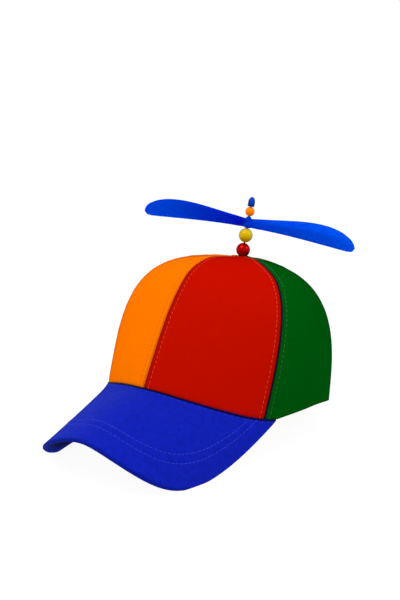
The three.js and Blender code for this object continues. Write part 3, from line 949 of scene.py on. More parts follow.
def blade_points():
    """One blade along +X as rings of points: a cambered lens that twists and thins to the tip."""
    run = 1 - (1 - np.linspace(0, 1, BLADE_STEPS)) ** 1.5
    place = BLADE_ROOT_PLACE + (1 - BLADE_ROOT_PLACE) * run
    leading = eased(BLADE_OUTLINE["place"], BLADE_OUTLINE["leading"], place) * BLADE_WIDTH
    trailing = eased(BLADE_OUTLINE["place"], BLADE_OUTLINE["trailing"], place) * BLADE_WIDTH
    tip = np.clip((place - 1 + TIP_ROUND) / TIP_ROUND, 0, 1)
    rounding = np.sqrt(1 - 0.985 * tip**2)
    middle = (leading - trailing) / 2
    half = (leading + trailing) / 2 * rounding
    flare = np.exp(-(place * BLADE_SPAN - HUB_RADIUS) / (1.3 * MM))
    flare = np.minimum(flare, 1.2)
    thickness = BLADE_ROOT_THICKNESS + (BLADE_TIP_THICKNESS - BLADE_ROOT_THICKNESS) * place
    thickness = (thickness + 1.1 * MM * flare) * (0.25 + 0.75 * rounding)
    pitch = BLADE_ROOT_PITCH + (BLADE_TIP_PITCH - BLADE_ROOT_PITCH) * place
    zero = np.zeros_like(place)
    chord = np.stack([zero, np.cos(pitch), np.sin(pitch)], axis=-1)
    face = np.stack([zero, -np.sin(pitch), np.cos(pitch)], axis=-1)
    spoke = np.stack([BLADE_SPAN * place, zero, -BLADE_DROP * place**2], axis=-1)
    turn = np.linspace(0, 2 * np.pi, BLADE_SECTION, endpoint=False)
    along_chord = middle[:, None] + half[:, None] * np.cos(turn)
    bow = BLADE_CAMBER * (half / (BLADE_WIDTH / 2))[:, None] * (np.sin(turn) ** 2 - 0.5)
    lens = thickness[:, None] / 2 * signed_power(np.sin(turn), 0.8) + bow
    return (
        spoke[:, None]
        + chord[:, None] * along_chord[..., None]
        + face[:, None] * lens[..., None]
    )


def blade_faces():
    faces = []
    for ring in range(BLADE_STEPS - 1):
        here, there = ring * BLADE_SECTION, (ring + 1) * BLADE_SECTION
        for side in range(BLADE_SECTION):
            after = (side + 1) % BLADE_SECTION
            faces.append((here + side, here + after, there + after, there + side))
    faces.append(tuple(range(BLADE_SECTION))[::-1])
    last = (BLADE_STEPS - 1) * BLADE_SECTION
    faces.append(tuple(last + side for side in range(BLADE_SECTION)))
    return faces


def place_on_blade(points):
    """Shares of the span and of the half width (-1 trailing, 1 leading) of points on the floor."""
    on_mast = ((points - cap_place) @ cap_turn - APEX) @ mast_turn - np.array([0, 0, PROPELLER_HEIGHT])
    c, s = math.cos(BLADE_TURN), math.sin(BLADE_TURN)
    x, y, z = (on_mast @ np.array([[c, -s, 0], [s, c, 0], [0, 0, 1]])).T
    y = np.where(x < 0, -y, y)
    place = np.clip(np.abs(x) / BLADE_SPAN, 0, 1)
    pitch = BLADE_ROOT_PITCH + (BLADE_TIP_PITCH - BLADE_ROOT_PITCH) * place
    along_chord = y * np.cos(pitch) + (z + BLADE_DROP * place**2) * np.sin(pitch)
    leading = np.interp(place, BLADE_OUTLINE["place"], BLADE_OUTLINE["leading"]) * BLADE_WIDTH
    trailing = np.interp(place, BLADE_OUTLINE["place"], BLADE_OUTLINE["trailing"]) * BLADE_WIDTH
    return place, (along_chord - (leading - trailing) / 2) / ((leading + trailing) / 2)


def propeller_piece(name, material):
    """Hub and two blades joined into one moulding, with the blades' spokes at the hub's middle."""
    hub = turned_piece(name, hub_profile(), PROPELLER_HEIGHT, material)
    blade = blade_points()
    for turn in (BLADE_TURN, BLADE_TURN + math.pi):
        c, s = math.cos(turn), math.sin(turn)
        swung = blade @ np.array([[c, s, 0], [-s, c, 0], [0, 0, 1]])
        points = up_the_mast(swung, PROPELLER_HEIGHT)
        part = piece_from(name + "_blade", points, blade_faces(), material)
        tidy_mesh(part.data)
        join = hub.modifiers.new("join", "BOOLEAN")
        join.operation = "UNION"
        join.solver = "EXACT"
        join.object = part
        bake_modifiers(hub)
        bpy.data.objects.remove(part)
    hub.data.shade_smooth()
    paint_moulding_shade(hub.data)
    return hub


def paint_moulding_shade(mesh):
    """Values per point for the moulding's painted shade: how shaded it is, and how much painted shade colour
    it takes near the hub, less on the blades' top faces.
    """
    places, normals = (np.zeros((len(mesh.vertices), 3)) for _ in range(2))
    mesh.vertices.foreach_get("co", places.ravel())
    mesh.vertices.foreach_get("normal", normals.ravel())
    axis, middle = cap_turn @ mast_turn @ np.array([0, 0, 1]), np.array(spin["pos_m"])
    outward = np.linalg.norm(np.cross(places - middle, axis), axis=-1)
    off_hub = np.clip(outward / HUB_RADIUS - 1.2, 0, 1)
    top_side = off_hub * np.clip(2 * normals @ axis, 0, 1)
    place, width_share = place_on_blade(places)
    ridge = np.clip(width_share / RIDGE_WIDTH + 0.5, 0, 1)
    on_ridge = np.clip(place / 0.25, 0, 1) * np.clip((0.98 - place) / 0.2, 0, 1)
    # Painted shade on the blades' top faces, with a painted lighter band along their leading half
    on_top = top_side * (TOP_SHADE + on_ridge * (RIDGE_SHADE - RIDGE_CLEARING * ridge))
    # Painted shade at the blades' rims, and a darker hub
    rim = off_hub * np.clip((np.abs(width_share) - RIM_START) / RIM_WIDTH, 0, 1)
    shade = on_top + RIM_SHADE * rim + HUB_SHADE * (1 - off_hub)
    # Painted shade colour near the hub, less on the blades' top faces, and a deeper tone over the hub itself
    toward_hub = np.clip(1 - outward / (DEEP_SHADE_REACH * BLADE_SPAN), 0, 1)
    deep_shade = off_hub * (1 - TOP_CLEARING * top_side) * toward_hub + HUB_DEPTH * (1 - off_hub)
    mesh.attributes.new("shade", "FLOAT", "POINT")
    for key, value in (("shade", shade), ("deep_shade", deep_shade)):
        mesh.attributes[key].data.foreach_set("value", value.astype(np.float32))


def bake_modifiers(piece):
    """Replaces a piece's mesh with its finished shape and clears its modifiers."""
    bpy.context.view_layer.update()
    evaluated = piece.evaluated_get(bpy.context.evaluated_depsgraph_get())
    finished = bpy.data.meshes.new_from_object(evaluated)
    piece.modifiers.clear()
    piece.data = finished


# Finishes
def swing(tree, noise, amount):
    """A noise's swing to both sides of its middle, times an amount."""
    return calc(tree, "MULTIPLY", calc(tree, "SUBTRACT", noise, 0.5), amount)


def scaled(tree, colour, level):
    inputs = {0: colour, "Scale": level}
    return add_node(tree, "ShaderNodeVectorMath", inputs, operation="SCALE").outputs[0]


def twill_group():
    """Diagonal ribs of a twill, each crossed by its yarns, from the cloth's own map in metres."""
    tree, given, result = new_tree("Twill weave", "ShaderNodeTree", [
        ("Cloth", VECTOR, None),
        ("Rib spacing", FLOAT, 0.7 * MM),
        ("Rib turn", FLOAT, math.radians(62)),
        ("Looseness", FLOAT, 0.5),
    ], [("Height", FLOAT), ("Rib", FLOAT)])
    turned = add_node(tree, "ShaderNodeVectorRotate", {
        "Vector": given["Cloth"], "Angle": given["Rib turn"],
    }, rotation_type="Z_AXIS")
    parts = add_node(tree, "ShaderNodeSeparateXYZ", {"Vector": turned.outputs[0]}).outputs
    slub = add_node(tree, "ShaderNodeTexNoise", {"Vector": given["Cloth"], "Scale": 420.0, "Detail": 2.0})
    wander = swing(tree, slub.outputs[0], given["Looseness"])
    rib_count = calc(tree, "ADD", calc(tree, "DIVIDE", parts["X"], given["Rib spacing"]), wander)
    rib_wave = calc(tree, "SINE", calc(tree, "MULTIPLY", rib_count, 2 * math.pi))
    rib = calc(tree, "MULTIPLY_ADD", rib_wave, 0.5, 0.5)
    yarn_step = calc(tree, "MULTIPLY", calc(tree, "FLOOR", rib_count), 0.37)
    yarn_count = calc(tree, "ADD", calc(tree, "DIVIDE", parts["Y"], given["Rib spacing"]), yarn_step)
    yarn_wave = calc(tree, "SINE", calc(tree, "MULTIPLY", yarn_count, 2 * math.pi))
    yarn = calc(tree, "MULTIPLY_ADD", yarn_wave, 0.18, 0.82)
    tree.links.new(calc(tree, "MULTIPLY", rib, yarn), result["Height"])
    tree.links.new(rib, result["Rib"])
    return tree


def dye_and_shade_group():
    """The dyed colour of cloth, a little cloudy, with painted shade between ribs, at folds, at seams and on
    the under face, and a darker strip over the seam allowance.
    """
    tree, given, result = new_tree("Dyed cotton and painted shade", "ShaderNodeTree", [
        ("Place", VECTOR, None),
        ("Colour", COLOUR, (0.5, 0.5, 0.5, 1)),
        ("Rib", FLOAT, 0.5),
        ("Cloudiness", FLOAT, 0.08),
        ("Cloud scale", FLOAT, 45.0),
        ("Rib shade", FLOAT, 0.12),
        ("From fold", FLOAT, 1.0),
        ("Fold shade", FLOAT, 0.4),
        ("From seam", FLOAT, 1.0),
        ("Seam shade", FLOAT, 0.3),
        ("Allowance shade", FLOAT, 0.1),
        ("Under", FLOAT, 0.0),
        ("Under shade", FLOAT, 0.97),
    ], [("Colour", COLOUR), ("Roughness", FLOAT)])
    slow = add_node(tree, "ShaderNodeTexNoise", {
        "Vector": given["Place"], "Scale": given["Cloud scale"], "Detail": 4.0, "Roughness": 0.6,
    })
    fine = add_node(tree, "ShaderNodeTexNoise", {"Vector": given["Place"], "Scale": 900.0, "Detail": 2.0})
    mixed = calc(tree, "MULTIPLY_ADD", fine.outputs[0], 0.3, calc(tree, "MULTIPLY", slow.outputs[0], 0.7))
    cloud = swing(tree, mixed, given["Cloudiness"])
    # Painted shade in the valleys between ribs, with the ribs a little lighter
    rib_shading = swing(tree, given["Rib"], given["Rib shade"])
    level = calc(tree, "ADD", calc(tree, "ADD", cloud, rib_shading), 1.0)
    # Painted shade near folds, near seams and on the under face, and a darker strip over the seam allowance
    for share, shade in (
        (near(tree, given["From fold"], 0.0, FOLD_SHADE_REACH), "Fold shade"),
        (near(tree, given["From seam"], 0.0, SEAM_SHADE_REACH), "Seam shade"),
        (near(tree, given["From seam"], STITCH_INSET - STITCH_GROOVE, STITCH_INSET), "Allowance shade"),
        (given["Under"], "Under shade"),
    ):
        kept = calc(tree, "SUBTRACT", 1.0, calc(tree, "MULTIPLY", share, given[shade]))
        level = calc(tree, "MULTIPLY", level, kept)
    tree.links.new(scaled(tree, given["Colour"], level), result["Colour"])
    rough = calc(tree, "MULTIPLY_ADD", fine.outputs[0], 0.12, 0.84)
    tree.links.new(rough, result["Roughness"])
    return tree


def near(tree, distance, start, end):
    """1 up to the start of a distance, falling to 0 at its end."""
    return add_node(tree, "ShaderNodeMapRange", {
        "Value": distance, "From Min": start, "From Max": end, "To Min": 1.0, "To Max": 0.0,
    }, interpolation_type="SMOOTHSTEP").outputs[0]


def pile_group():
    """The short loose fibres that stand off cotton."""
    tree, given, result = new_tree("Cotton pile", "ShaderNodeTree", [
        ("Place", VECTOR, None),
        ("Weave", FLOAT, 0.5),
        ("Pile", FLOAT, 0.4),
    ], [("Height", FLOAT)])
    hairs = add_node(tree, "ShaderNodeTexNoise", {
        "Vector": given["Place"], "Scale": 2600.0, "Detail": 3.0, "Roughness": 0.65, "Distortion": 0.8,
    })
    height = calc(tree, "MULTIPLY_ADD", hairs.outputs[0], given["Pile"], given["Weave"])
    tree.links.new(height, result["Height"])
    return tree


def moulding_group():
    """Moulded plastic: faint flow streaks, a slightly uneven gloss and a soft orange peel, with a painted
    shade colour mixed in and painted shade from values per point.
    """
    tree, given, result = new_tree("Moulded plastic", "ShaderNodeTree", [
        ("Place", VECTOR, None),
        ("Colour", COLOUR, (0.5, 0.5, 0.5, 1)),
        ("Streaks", FLOAT, 0.06),
        ("Gloss unevenness", FLOAT, 0.06),
        ("Roughness", FLOAT, 0.25),
        ("Peel scale", FLOAT, 700.0),
        ("Deep shade", FLOAT, 0.0),
        ("Shade colour", COLOUR, (0.2, 0.2, 0.2, 1)),
        ("Shade", FLOAT, 0.0),
        ("Shade depth", FLOAT, 0.38),
    ], [("Colour", COLOUR), ("Roughness", FLOAT), ("Height", FLOAT)])
    stretched = add_node(tree, "ShaderNodeVectorMath", {
        0: given["Place"], 1: (60, 240, 240),
    }, operation="MULTIPLY")
    flow = add_node(tree, "ShaderNodeTexNoise", {
        "Vector": stretched.outputs[0], "Scale": 1.0, "Detail": 3.0, "Distortion": 0.6,
    })
    peel = add_node(tree, "ShaderNodeTexNoise", {
        "Vector": given["Place"], "Scale": given["Peel scale"], "Detail": 1.0,
    })
    scuffs = add_node(tree, "ShaderNodeTexNoise", {"Vector": given["Place"], "Scale": 260.0, "Detail": 4.0})
    streak = swing(tree, flow.outputs[0], given["Streaks"])
    mixed = add_node(tree, "ShaderNodeMix", data_type="RGBA")
    for label, value in (("Factor_Float", "Deep shade"), ("A_Color", "Colour"), ("B_Color", "Shade colour")):
        wanted = [socket for socket in mixed.inputs if socket.identifier == label][0]
        tree.links.new(given[value], wanted)
    blend = [socket for socket in mixed.outputs if socket.identifier == "Result_Color"][0]
    lit = calc(tree, "SUBTRACT", 1.0, calc(tree, "MULTIPLY", given["Shade"], given["Shade depth"]))
    level = calc(tree, "MULTIPLY", calc(tree, "ADD", streak, 1.0), lit)
    tree.links.new(scaled(tree, blend, level), result["Colour"])
    uneven = swing(tree, scuffs.outputs[0], given["Gloss unevenness"])
    tree.links.new(calc(tree, "ADD", given["Roughness"], uneven), result["Roughness"])
    tree.links.new(peel.outputs[0], result["Height"])
    return tree


def ply_group():
    """Sewing thread: plies twisted round each other, with slight changes of shade."""
    tree, given, result = new_tree("Twisted thread", "ShaderNodeTree", [
        ("Place", VECTOR, None),
        ("Colour", COLOUR, (0.5, 0.5, 0.5, 1)),
        ("Ply spacing", FLOAT, 0.45 * MM),
        ("Shade change", FLOAT, 0.15),
    ], [("Colour", COLOUR), ("Height", FLOAT)])
    parts = add_node(tree, "ShaderNodeSeparateXYZ", {"Vector": given["Place"]}).outputs
    slope = calc(tree, "ADD", calc(tree, "ADD", parts["X"], parts["Y"]), parts["Z"])
    turns = calc(tree, "DIVIDE", slope, given["Ply spacing"])
    twist = calc(tree, "SINE", calc(tree, "MULTIPLY", turns, 2 * math.pi))
    ply = calc(tree, "MULTIPLY_ADD", twist, 0.5, 0.5)
    tree.links.new(ply, result["Height"])
    shade = add_node(tree, "ShaderNodeTexNoise", {"Vector": given["Place"], "Scale": 500.0, "Detail": 1.0})
    change = swing(tree, shade.outputs[0], given["Shade change"])
    tree.links.new(scaled(tree, given["Colour"], calc(tree, "ADD", change, 1.0)), result["Colour"])
    return tree


def linear(red, green, blue):
    """A screen colour of 0 to 255 as the light that it stands for."""
    def light(value):
        share = value / 255
        return share / 12.92 if share <= 0.04045 else ((share + 0.055) / 1.055) ** 2.4
    return (light(red), light(green), light(blue), 1.0)


def new_finish(name, settings):
    """A material with its shader, whose even values are set on the shader itself."""
    finish = bpy.data.materials.new(name)
    finish.use_nodes = True
    tree = finish.node_tree
    shader = tree.nodes["Principled BSDF"]
    for label, value in settings.items():
        shader.inputs[label].default_value = value
    return finish, tree, shader


def bump_into(tree, shader, height, depth):
    bump = add_node(tree, "ShaderNodeBump", {"Strength": 1.0, "Distance": depth, "Height": height})
    tree.links.new(bump.outputs[0], shader.inputs["Normal"])


def read_value(tree, attribute):
    return add_node(tree, "ShaderNodeAttribute", attribute_name=attribute).outputs["Fac"]


def paint_rim_shade(tree, shader, colour, start, end, level):
    """Gives the shader a colour with painted shade: it falls to a level of itself where the surface turns
    away from the view.
    """
    turned_away = add_node(tree, "ShaderNodeLayerWeight", {"Blend": 0.5}).outputs["Facing"]
    kept = add_node(tree, "ShaderNodeMapRange", {
        "Value": turned_away, "From Min": start, "From Max": end, "To Min": 1.0, "To Max": level,
    }, interpolation_type="SMOOTHSTEP").outputs[0]
    tree.links.new(scaled(tree, colour, kept), shader.inputs["Base Color"])


def cloth_finish(name, colour, rib_spacing, pile, depth, fuzz, shades):
    """Dyed cotton twill, which follows the cloth's own map, with painted shade by its distance from seam and
    fold, on the under face and where it turns away.
    """
    finish, tree, shader = new_finish(name, {
        "Specular IOR Level": 0.0, "Sheen Weight": fuzz, "Sheen Tint": FUZZ_TINT, "Sheen Roughness": 0.45,
    })
    place = add_node(tree, "ShaderNodeTexCoord").outputs["Object"]
    grain = add_node(tree, "ShaderNodeUVMap", uv_map="cloth").outputs[0]
    weave = use_group(tree, "twill", {"Cloth": grain, "Rib spacing": rib_spacing})
    shaded_dye = use_group(tree, "dye_and_shade", {
        "Place": place, "Colour": colour, "Rib": weave["Rib"], "From seam": read_value(tree, "from_seam"),
        "From fold": read_value(tree, "from_fold"), "Under": read_value(tree, "under"), **shades,
    })
    piled = use_group(tree, "pile", {"Place": place, "Weave": weave["Height"], "Pile": pile})
    paint_rim_shade(tree, shader, shaded_dye["Colour"], *CLOTH_RIM_SHADE)
    tree.links.new(shaded_dye["Roughness"], shader.inputs["Roughness"])
    bump_into(tree, shader, piled["Height"], depth)
    return finish


def use_group(tree, kind, values):
    """Adds one of the finishes' groups with its inputs filled, and gives its outputs."""
    return add_node(tree, "ShaderNodeGroup", values, node_tree=groups[kind]).outputs


def thread_finish(name, colour):
    finish, tree, shader = new_finish(name, {
        "Roughness": 0.6, "Specular IOR Level": 0.1, "Specular Tint": colour,
    })
    place = add_node(tree, "ShaderNodeTexCoord").outputs["Object"]
    ply = use_group(tree, "ply", {"Place": place, "Colour": colour})
    tree.links.new(ply["Colour"], shader.inputs["Base Color"])
    bump_into(tree, shader, ply["Height"], 0.06 * MM)
    return finish


def plastic_finish(name, colour, shade_colour, roughness, gloss, tint, rim, metallic=0.0, see_in=0.0):
    """Moulded plastic, coloured through, with painted shade where it turns away from the view and a painted
    shade colour from its values per point.
    """
    finish, tree, shader = new_finish(name, {
        "Specular IOR Level": gloss, "Specular Tint": tint, "Metallic": metallic,
        "Subsurface Weight": see_in, "Subsurface Radius": (0.3, 0.8, 1.0), "Subsurface Scale": 3 * MM,
    })
    place = add_node(tree, "ShaderNodeTexCoord").outputs["Object"]
    moulded = use_group(tree, "moulding", {
        "Place": place, "Colour": colour, "Shade colour": shade_colour, "Roughness": roughness,
        "Deep shade": read_value(tree, "deep_shade"), "Shade": read_value(tree, "shade"),
    })
    paint_rim_shade(tree, shader, moulded["Colour"], *rim)
    tree.links.new(moulded["Roughness"], shader.inputs["Roughness"])
    bump_into(tree, shader, moulded["Height"], 0.012 * MM)
    return finish


def wire_finish(name):
    """Drawn steel wire, with fine lines along it."""
    finish, tree, shader = new_finish(name, {"Metallic": 0.9, "Base Color": linear(74, 70, 72)})
    place = add_node(tree, "ShaderNodeTexCoord").outputs["Object"]
    drawn = add_node(tree, "ShaderNodeVectorMath", {0: place, 1: (4000, 4000, 120)}, operation="MULTIPLY")
    lines = add_node(tree, "ShaderNodeTexNoise", {"Vector": drawn.outputs[0], "Scale": 1.0, "Detail": 3.0})
    rough = calc(tree, "MULTIPLY_ADD", lines.outputs[0], 0.2, 0.22)
    tree.links.new(rough, shader.inputs["Roughness"])
    bump_into(tree, shader, lines.outputs[0], 0.01 * MM)
    return finish


groups = {
    "twill": twill_group(),
    "dye_and_shade": dye_and_shade_group(),
    "pile": pile_group(),
    "moulding": moulding_group(),
    "ply": ply_group(),
}

RED_DYE = linear(165, 11, 0)
ORANGE_DYE = linear(222, 104, 0)
GREEN_DYE = linear(0, 71, 9)
BLUE_DYE = linear(11, 25, 151)
FUZZ_TINT = linear(120, 150, 255)

# Painted rim shade: where a finish starts to darken as it turns away from the view, where it ends, and the
# level that it falls to
CLOTH_RIM_SHADE = (0.82, 1, 0.6)
BEAD_RIM_SHADE = (0.35, 1, 0.5)
ORANGE_BEAD_RIM_SHADE = (0.35, 1, 0.7)
BLADE_RIM_SHADE = (0.5, 1, 1)
END_CAP_RIM_SHADE = (0.02, 0.42, 0.2)

# Cloths, each with its painted shade at folds and seams and its darker strip over the seam allowance
cloths = {
    "red": cloth_finish("Red cotton twill", RED_DYE, 0.62 * MM, 0.5, 0.07 * MM, 0, {
        "Cloudiness": 0.14, "Allowance shade": 0.15, "Seam shade": 0.4, "Fold shade": 0.5,
    }),
    "orange": cloth_finish("Orange cotton twill", ORANGE_DYE, 0.62 * MM, 0.5, 0.07 * MM, 0, {
        "Cloudiness": 0.08, "Allowance shade": 0.0, "Seam shade": 0.15, "Fold shade": 0.45,
    }),
    "green": cloth_finish("Green cotton twill", GREEN_DYE, 0.62 * MM, 0.5, 0.07 * MM, 0, {
        "Cloudiness": 0.2, "Allowance shade": 0.0, "Seam shade": 0.3, "Fold shade": 0.55,
    }),
    "blue": cloth_finish("Blue brushed twill", BLUE_DYE, 0.66 * MM, 1.1, 0.08 * MM, 0.17, {
        "Cloudiness": 1.0, "Cloud scale": 260.0,
        "Allowance shade": 0.0, "Seam shade": 0.35, "Fold shade": 0.3,
    }),
}
threads = {
    "red": thread_finish("Salmon thread", linear(212, 60, 34)),
    "orange": thread_finish("Orange thread", linear(226, 108, 4)),
    "green": thread_finish("Leaf green thread", linear(38, 108, 60)),
    "blue": thread_finish("Blue thread", linear(52, 66, 196)),
    "navy": thread_finish("Navy thread and seam shadow", linear(14, 10, 36)),
    "black": thread_finish("Black cord and joint shadow", linear(8, 6, 14)),
}
plastics = {
    "red": plastic_finish(
        "Red bead plastic", (0.35, 0.002, 0.002, 1), (0.05, 0, 0, 1),
        roughness=0.22, gloss=0.5, tint=(1, 0.05, 0.05, 1), rim=BEAD_RIM_SHADE, metallic=0.8,
    ),
    "yellow": plastic_finish(
        "Yellow bead plastic", linear(188, 160, 0), linear(120, 100, 0),
        roughness=0.28, gloss=0.5, tint=(1, 0.9, 0.1, 1), rim=BEAD_RIM_SHADE,
    ),
    "orange": plastic_finish(
        "Orange bead plastic", linear(230, 118, 0), linear(200, 90, 0),
        roughness=0.32, gloss=0.2, tint=(1, 0.6, 0.1, 1), rim=ORANGE_BEAD_RIM_SHADE,
    ),
    "blade": plastic_finish(
        "Blue propeller plastic", linear(0, 72, 214), linear(0, 6, 206),
        roughness=0.4, gloss=0, tint=(0.02, 0.3, 1, 1), rim=BLADE_RIM_SHADE, see_in=1,
    ),
    "cap": plastic_finish(
        "Blue end cap plastic", linear(0, 54, 176), linear(0, 6, 50),
        roughness=0.2, gloss=0.3, tint=(0.05, 0.35, 1, 1), rim=END_CAP_RIM_SHADE,
    ),
}

# Panels: name, node that it stands for, first and last seam in degrees, cloth, phase of its puckers
PANELS = [
    ("panel_front_left", "crown_front_left", SEAM_FRONT, SEAM_SIDE, "red", 0.4),
    ("panel_front_right", "crown_front_right", -SEAM_SIDE, SEAM_FRONT, "orange", 1.7),
    ("panel_side_left", "crown_side_left", SEAM_SIDE, SEAM_REAR, "green", 2.9),
    ("panel_side_right", "crown_side_right", -SEAM_REAR, -SEAM_SIDE, "green", 4.2),
    ("panel_back_left", "crown_back_left", SEAM_REAR, SEAM_BACK, "orange", 5.1),
    ("panel_back_right", "crown_back_right", -SEAM_BACK, -SEAM_REAR, "red", 6.3),
]

STITCHES = {"Pitch": 3.9 * MM, "Stitch length": 2.6 * MM, "Thread radius": 0.27 * MM, "Rise": 0.34 * MM,
            "Sink": 0.3 * MM, "Slant": 0.12, "Unevenness": 0.06}
PEAK_STITCHES = {"Pitch": 3.6 * MM, "Stitch length": 2.8 * MM, "Thread radius": 0.2 * MM, "Rise": 0.26 * MM,
                 "Sink": 0.25 * MM, "Slant": 0.05, "Unevenness": 0.05}
JOINT_STITCHES = {"Pitch": 5.2 * MM, "Stitch length": 1.9 * MM, "Thread radius": 0.16 * MM, "Rise": 0.2 * MM,
                  "Sink": 0.3 * MM, "Slant": 0.3, "Unevenness": 0.3}
STITCH_START = 1.2 * MM
# A navy thread in some seams, partly real thread and partly standing in for the seams' dark shadow line
SEAM_THREAD_START = 0.8 * MM
SEAM_THREAD_INSET = 0.35 * MM
SEAM_THREAD_LIFT = 0.1 * MM
TOP_THREAD_START = 151 * MM
TOP_THREAD_INSET = -0.2 * MM
TOP_THREAD_LIFT = 0.2 * MM
PEAK_ROW_START = 0.02
JOINT_STITCH_INSET = 1.9 * MM
JOINT_SHADOW_CORD_LIFT = 0.2 * MM
SEAM_SHADOW_THREAD = {"Thread radius": 0.6 * MM, "Step": 1.6 * MM}
JOINT_SHADOW_CORD = {"Thread radius": 0.5 * MM, "Step": 1.2 * MM}

stitching = stitching_tree()
cording = cording_tree()
paths = {"red": [], "orange": [], "green": []}
seam_shadow_lines = []

for name, node, first, last, colour, phase in PANELS:
    table = lay_out_panel(first, last)
    panel = panel_piece(name, table, phase, cloths[colour])
    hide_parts(node)
    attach(panel, "cap")
    for first_side in (True, False):
        paths[colour].append(seam_path(table, phase, STITCH_INSET, first_side, 0, STITCH_START))
        # Navy thread beside the green panels' seams and near the top of the front seam, also standing in for
        # their shadow line
        if colour == "green":
            seam_shadow_lines.append(seam_path(
                table, phase, SEAM_THREAD_INSET, first_side, SEAM_THREAD_LIFT, SEAM_THREAD_START,
            ))
    if name == "panel_front_left":
        seam_shadow_lines.append(seam_path(
            table, phase, TOP_THREAD_INSET, True, TOP_THREAD_LIFT, TOP_THREAD_START,
        ))

for seed, (colour, rows) in enumerate(paths.items(), start=1):
    settings = {**STITCHES, "Thread": threads[colour], "Seed": seed}
    stitches = sewn_piece("topstitching_" + colour, rows, stitching, settings)
    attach(stitches, "cap")

# Navy thread in the seams, partly real thread and partly painted seam shadow
seam_shadow_thread = sewn_piece("seam_shadow_thread", seam_shadow_lines, cording, {**SEAM_SHADOW_THREAD, "Thread": threads["navy"]})
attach(seam_shadow_thread, "cap")

peak = peak_piece("peak_cover", cloths["blue"])
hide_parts("peak")
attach(peak, "cap")
peak_rows = [peak_row_path(row, PEAK_ROW_START) for row in PEAK_ROWS]
peak_stitches = sewn_piece(
    "peak_topstitching", peak_rows, stitching, {**PEAK_STITCHES, "Thread": threads["blue"], "Seed": 7},
)
joint_stitches = sewn_piece(
    "peak_joint_stitching", [peak_joint_path(JOINT_STITCH_INSET, 0)], stitching,
    {**JOINT_STITCHES, "Thread": threads["blue"], "Seed": 8},
)
# A black cord in the joint between crown and peak, partly real cord and partly standing in for the joint's
# dark shadow line
joint_shadow_cord = sewn_piece(
    "peak_joint_shadow_cord", [peak_joint_path(0, JOINT_SHADOW_CORD_LIFT)], cording,
    {**JOINT_SHADOW_CORD, "Thread": threads["black"]},
)
for sewn in (peak_stitches, joint_stitches, joint_shadow_cord):
    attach(sewn, "cap")

# Painted shade at the end cap's foot, where it sits on the bead
END_CAP_FOOT_SHADE_REACH = 1.8 * MM
large_bead = bead_profile(LARGE_BEAD + BEAD_SWELL)
small_bead = bead_profile(SMALL_BEAD + BEAD_SWELL)
middle_height = MIDDLE_BEAD_HEIGHT + MIDDLE_BEAD_LIFT

# Pieces of the mast: name, node that it stands for, profile, height, plastic, slot, reach of the painted
# shade at its foot
MAST_PIECES = [
    ("bead_red", "lower_bead", large_bead, LOWER_BEAD_HEIGHT, "red", "red_plastic", 0),
    ("bead_yellow", "middle_bead", large_bead, middle_height, "yellow", "yellow_plastic", 0),
    ("bead_orange", "upper_bead", small_bead, UPPER_BEAD_HEIGHT, "orange", "orange_plastic", 0),
    ("end_cap", "mast_cap", mast_cap_profile(), MAST_CAP_HEIGHT, "cap", "cap_plastic", END_CAP_FOOT_SHADE_REACH),
]
for name, node, profile, height, colour, slot, shade_reach in MAST_PIECES:
    piece = turned_piece(name, profile, height, plastics[colour], shade_reach)
    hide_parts(node)
    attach(piece, "cap")

propeller = propeller_piece("propeller_moulding", plastics["blade"])
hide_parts("propeller")
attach(propeller, "propeller")

pin = frame["nodes"]["mast_pin"]
pin.data.materials.clear()
pin.data.materials.append(wire_finish("Drawn steel wire"))


# Studio
def studio_floor():
    """A wide, flat light table."""
    reach = 8.0
    corners = [(-reach, -reach, 0), (reach, -reach, 0), (reach, reach, 0), (-reach, reach, 0)]
    finish, tree, shader = new_finish("Light table", {
        "Base Color": (0.08, 0.08, 0.08, 1), "Roughness": 0.9, "Specular IOR Level": 0.0,
        "Emission Color": (1, 1, 1, 1), "Emission Strength": 0.95,
    })
    piece_from("studio_floor", np.array(corners, float), [(0, 1, 2, 3)], finish)


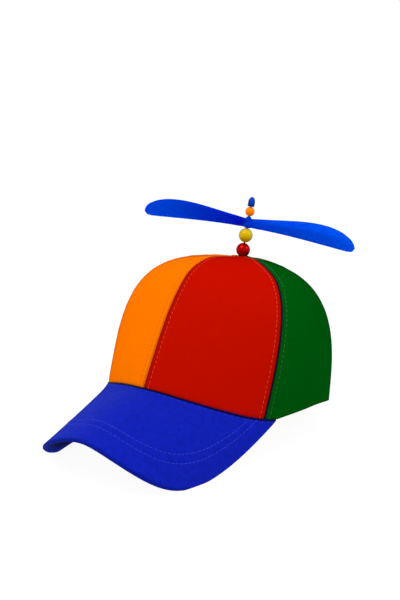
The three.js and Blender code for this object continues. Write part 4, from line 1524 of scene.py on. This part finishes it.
def away_from_cap(turn, rise):
    """The direction from the cap to something that stands round it."""
    return Vector((math.sin(turn) * math.cos(rise), -math.cos(turn) * math.cos(rise), math.sin(rise)))


def softbox(name, turn, rise, distance, size, power):
    """A square soft light aimed at the cap, placed round it as the camera is."""
    back = away_from_cap(turn, rise)
    data = bpy.data.lights.new(name, "AREA")
    data.shape = "SQUARE"
    data.size = size
    data.energy = power
    light = bpy.data.objects.new(name, data)
    light.location = Vector((0, 0, 0.09)) + back * distance
    light.rotation_mode = "QUATERNION"
    light.rotation_quaternion = (-back).to_track_quat("-Z", "Y")
    bpy.context.scene.collection.objects.link(light)


def photo_camera():
    """The camera at the photograph's angle, with its small roll."""
    back = away_from_cap(CAMERA_TURN, CAMERA_RISE)
    level = Vector((math.cos(CAMERA_TURN), math.sin(CAMERA_TURN), 0))
    upright = back.cross(level)
    right = level * math.cos(CAMERA_ROLL) + upright * math.sin(CAMERA_ROLL)
    up = upright * math.cos(CAMERA_ROLL) - level * math.sin(CAMERA_ROLL)
    place = Vector(cap_place) + back * CAMERA_DISTANCE - right * CAMERA_AIM_LEFT + up * CAMERA_AIM_UP
    data = bpy.data.cameras.new("photo_camera")
    data.sensor_width = 36
    data.lens = CAMERA_LENS
    data.clip_start, data.clip_end = 0.02, 60
    camera = bpy.data.objects.new("photo_camera", data)
    camera.matrix_world = Matrix((
        (right.x, up.x, back.x, place.x),
        (right.y, up.y, back.y, place.y),
        (right.z, up.z, back.z, place.z),
        (0, 0, 0, 1),
    ))
    bpy.context.scene.collection.objects.link(camera)
    bpy.context.scene.camera = camera


def studio_air(strength):
    world = bpy.data.worlds.new("Studio air")
    world.use_nodes = True
    world.node_tree.nodes["Background"].inputs["Color"].default_value = (1, 1, 1, 1)
    world.node_tree.nodes["Background"].inputs["Strength"].default_value = strength
    bpy.context.scene.world = world


studio_floor()
studio_air(1.0)
softbox("key_softbox", CAMERA_TURN - math.radians(50), math.radians(60), 1.6, 0.9, 14)
softbox("fill_softbox", CAMERA_TURN + math.radians(78), math.radians(34), 1.6, 0.5, 6)
photo_camera()
bpy.context.scene.view_settings.view_transform = "Standard"
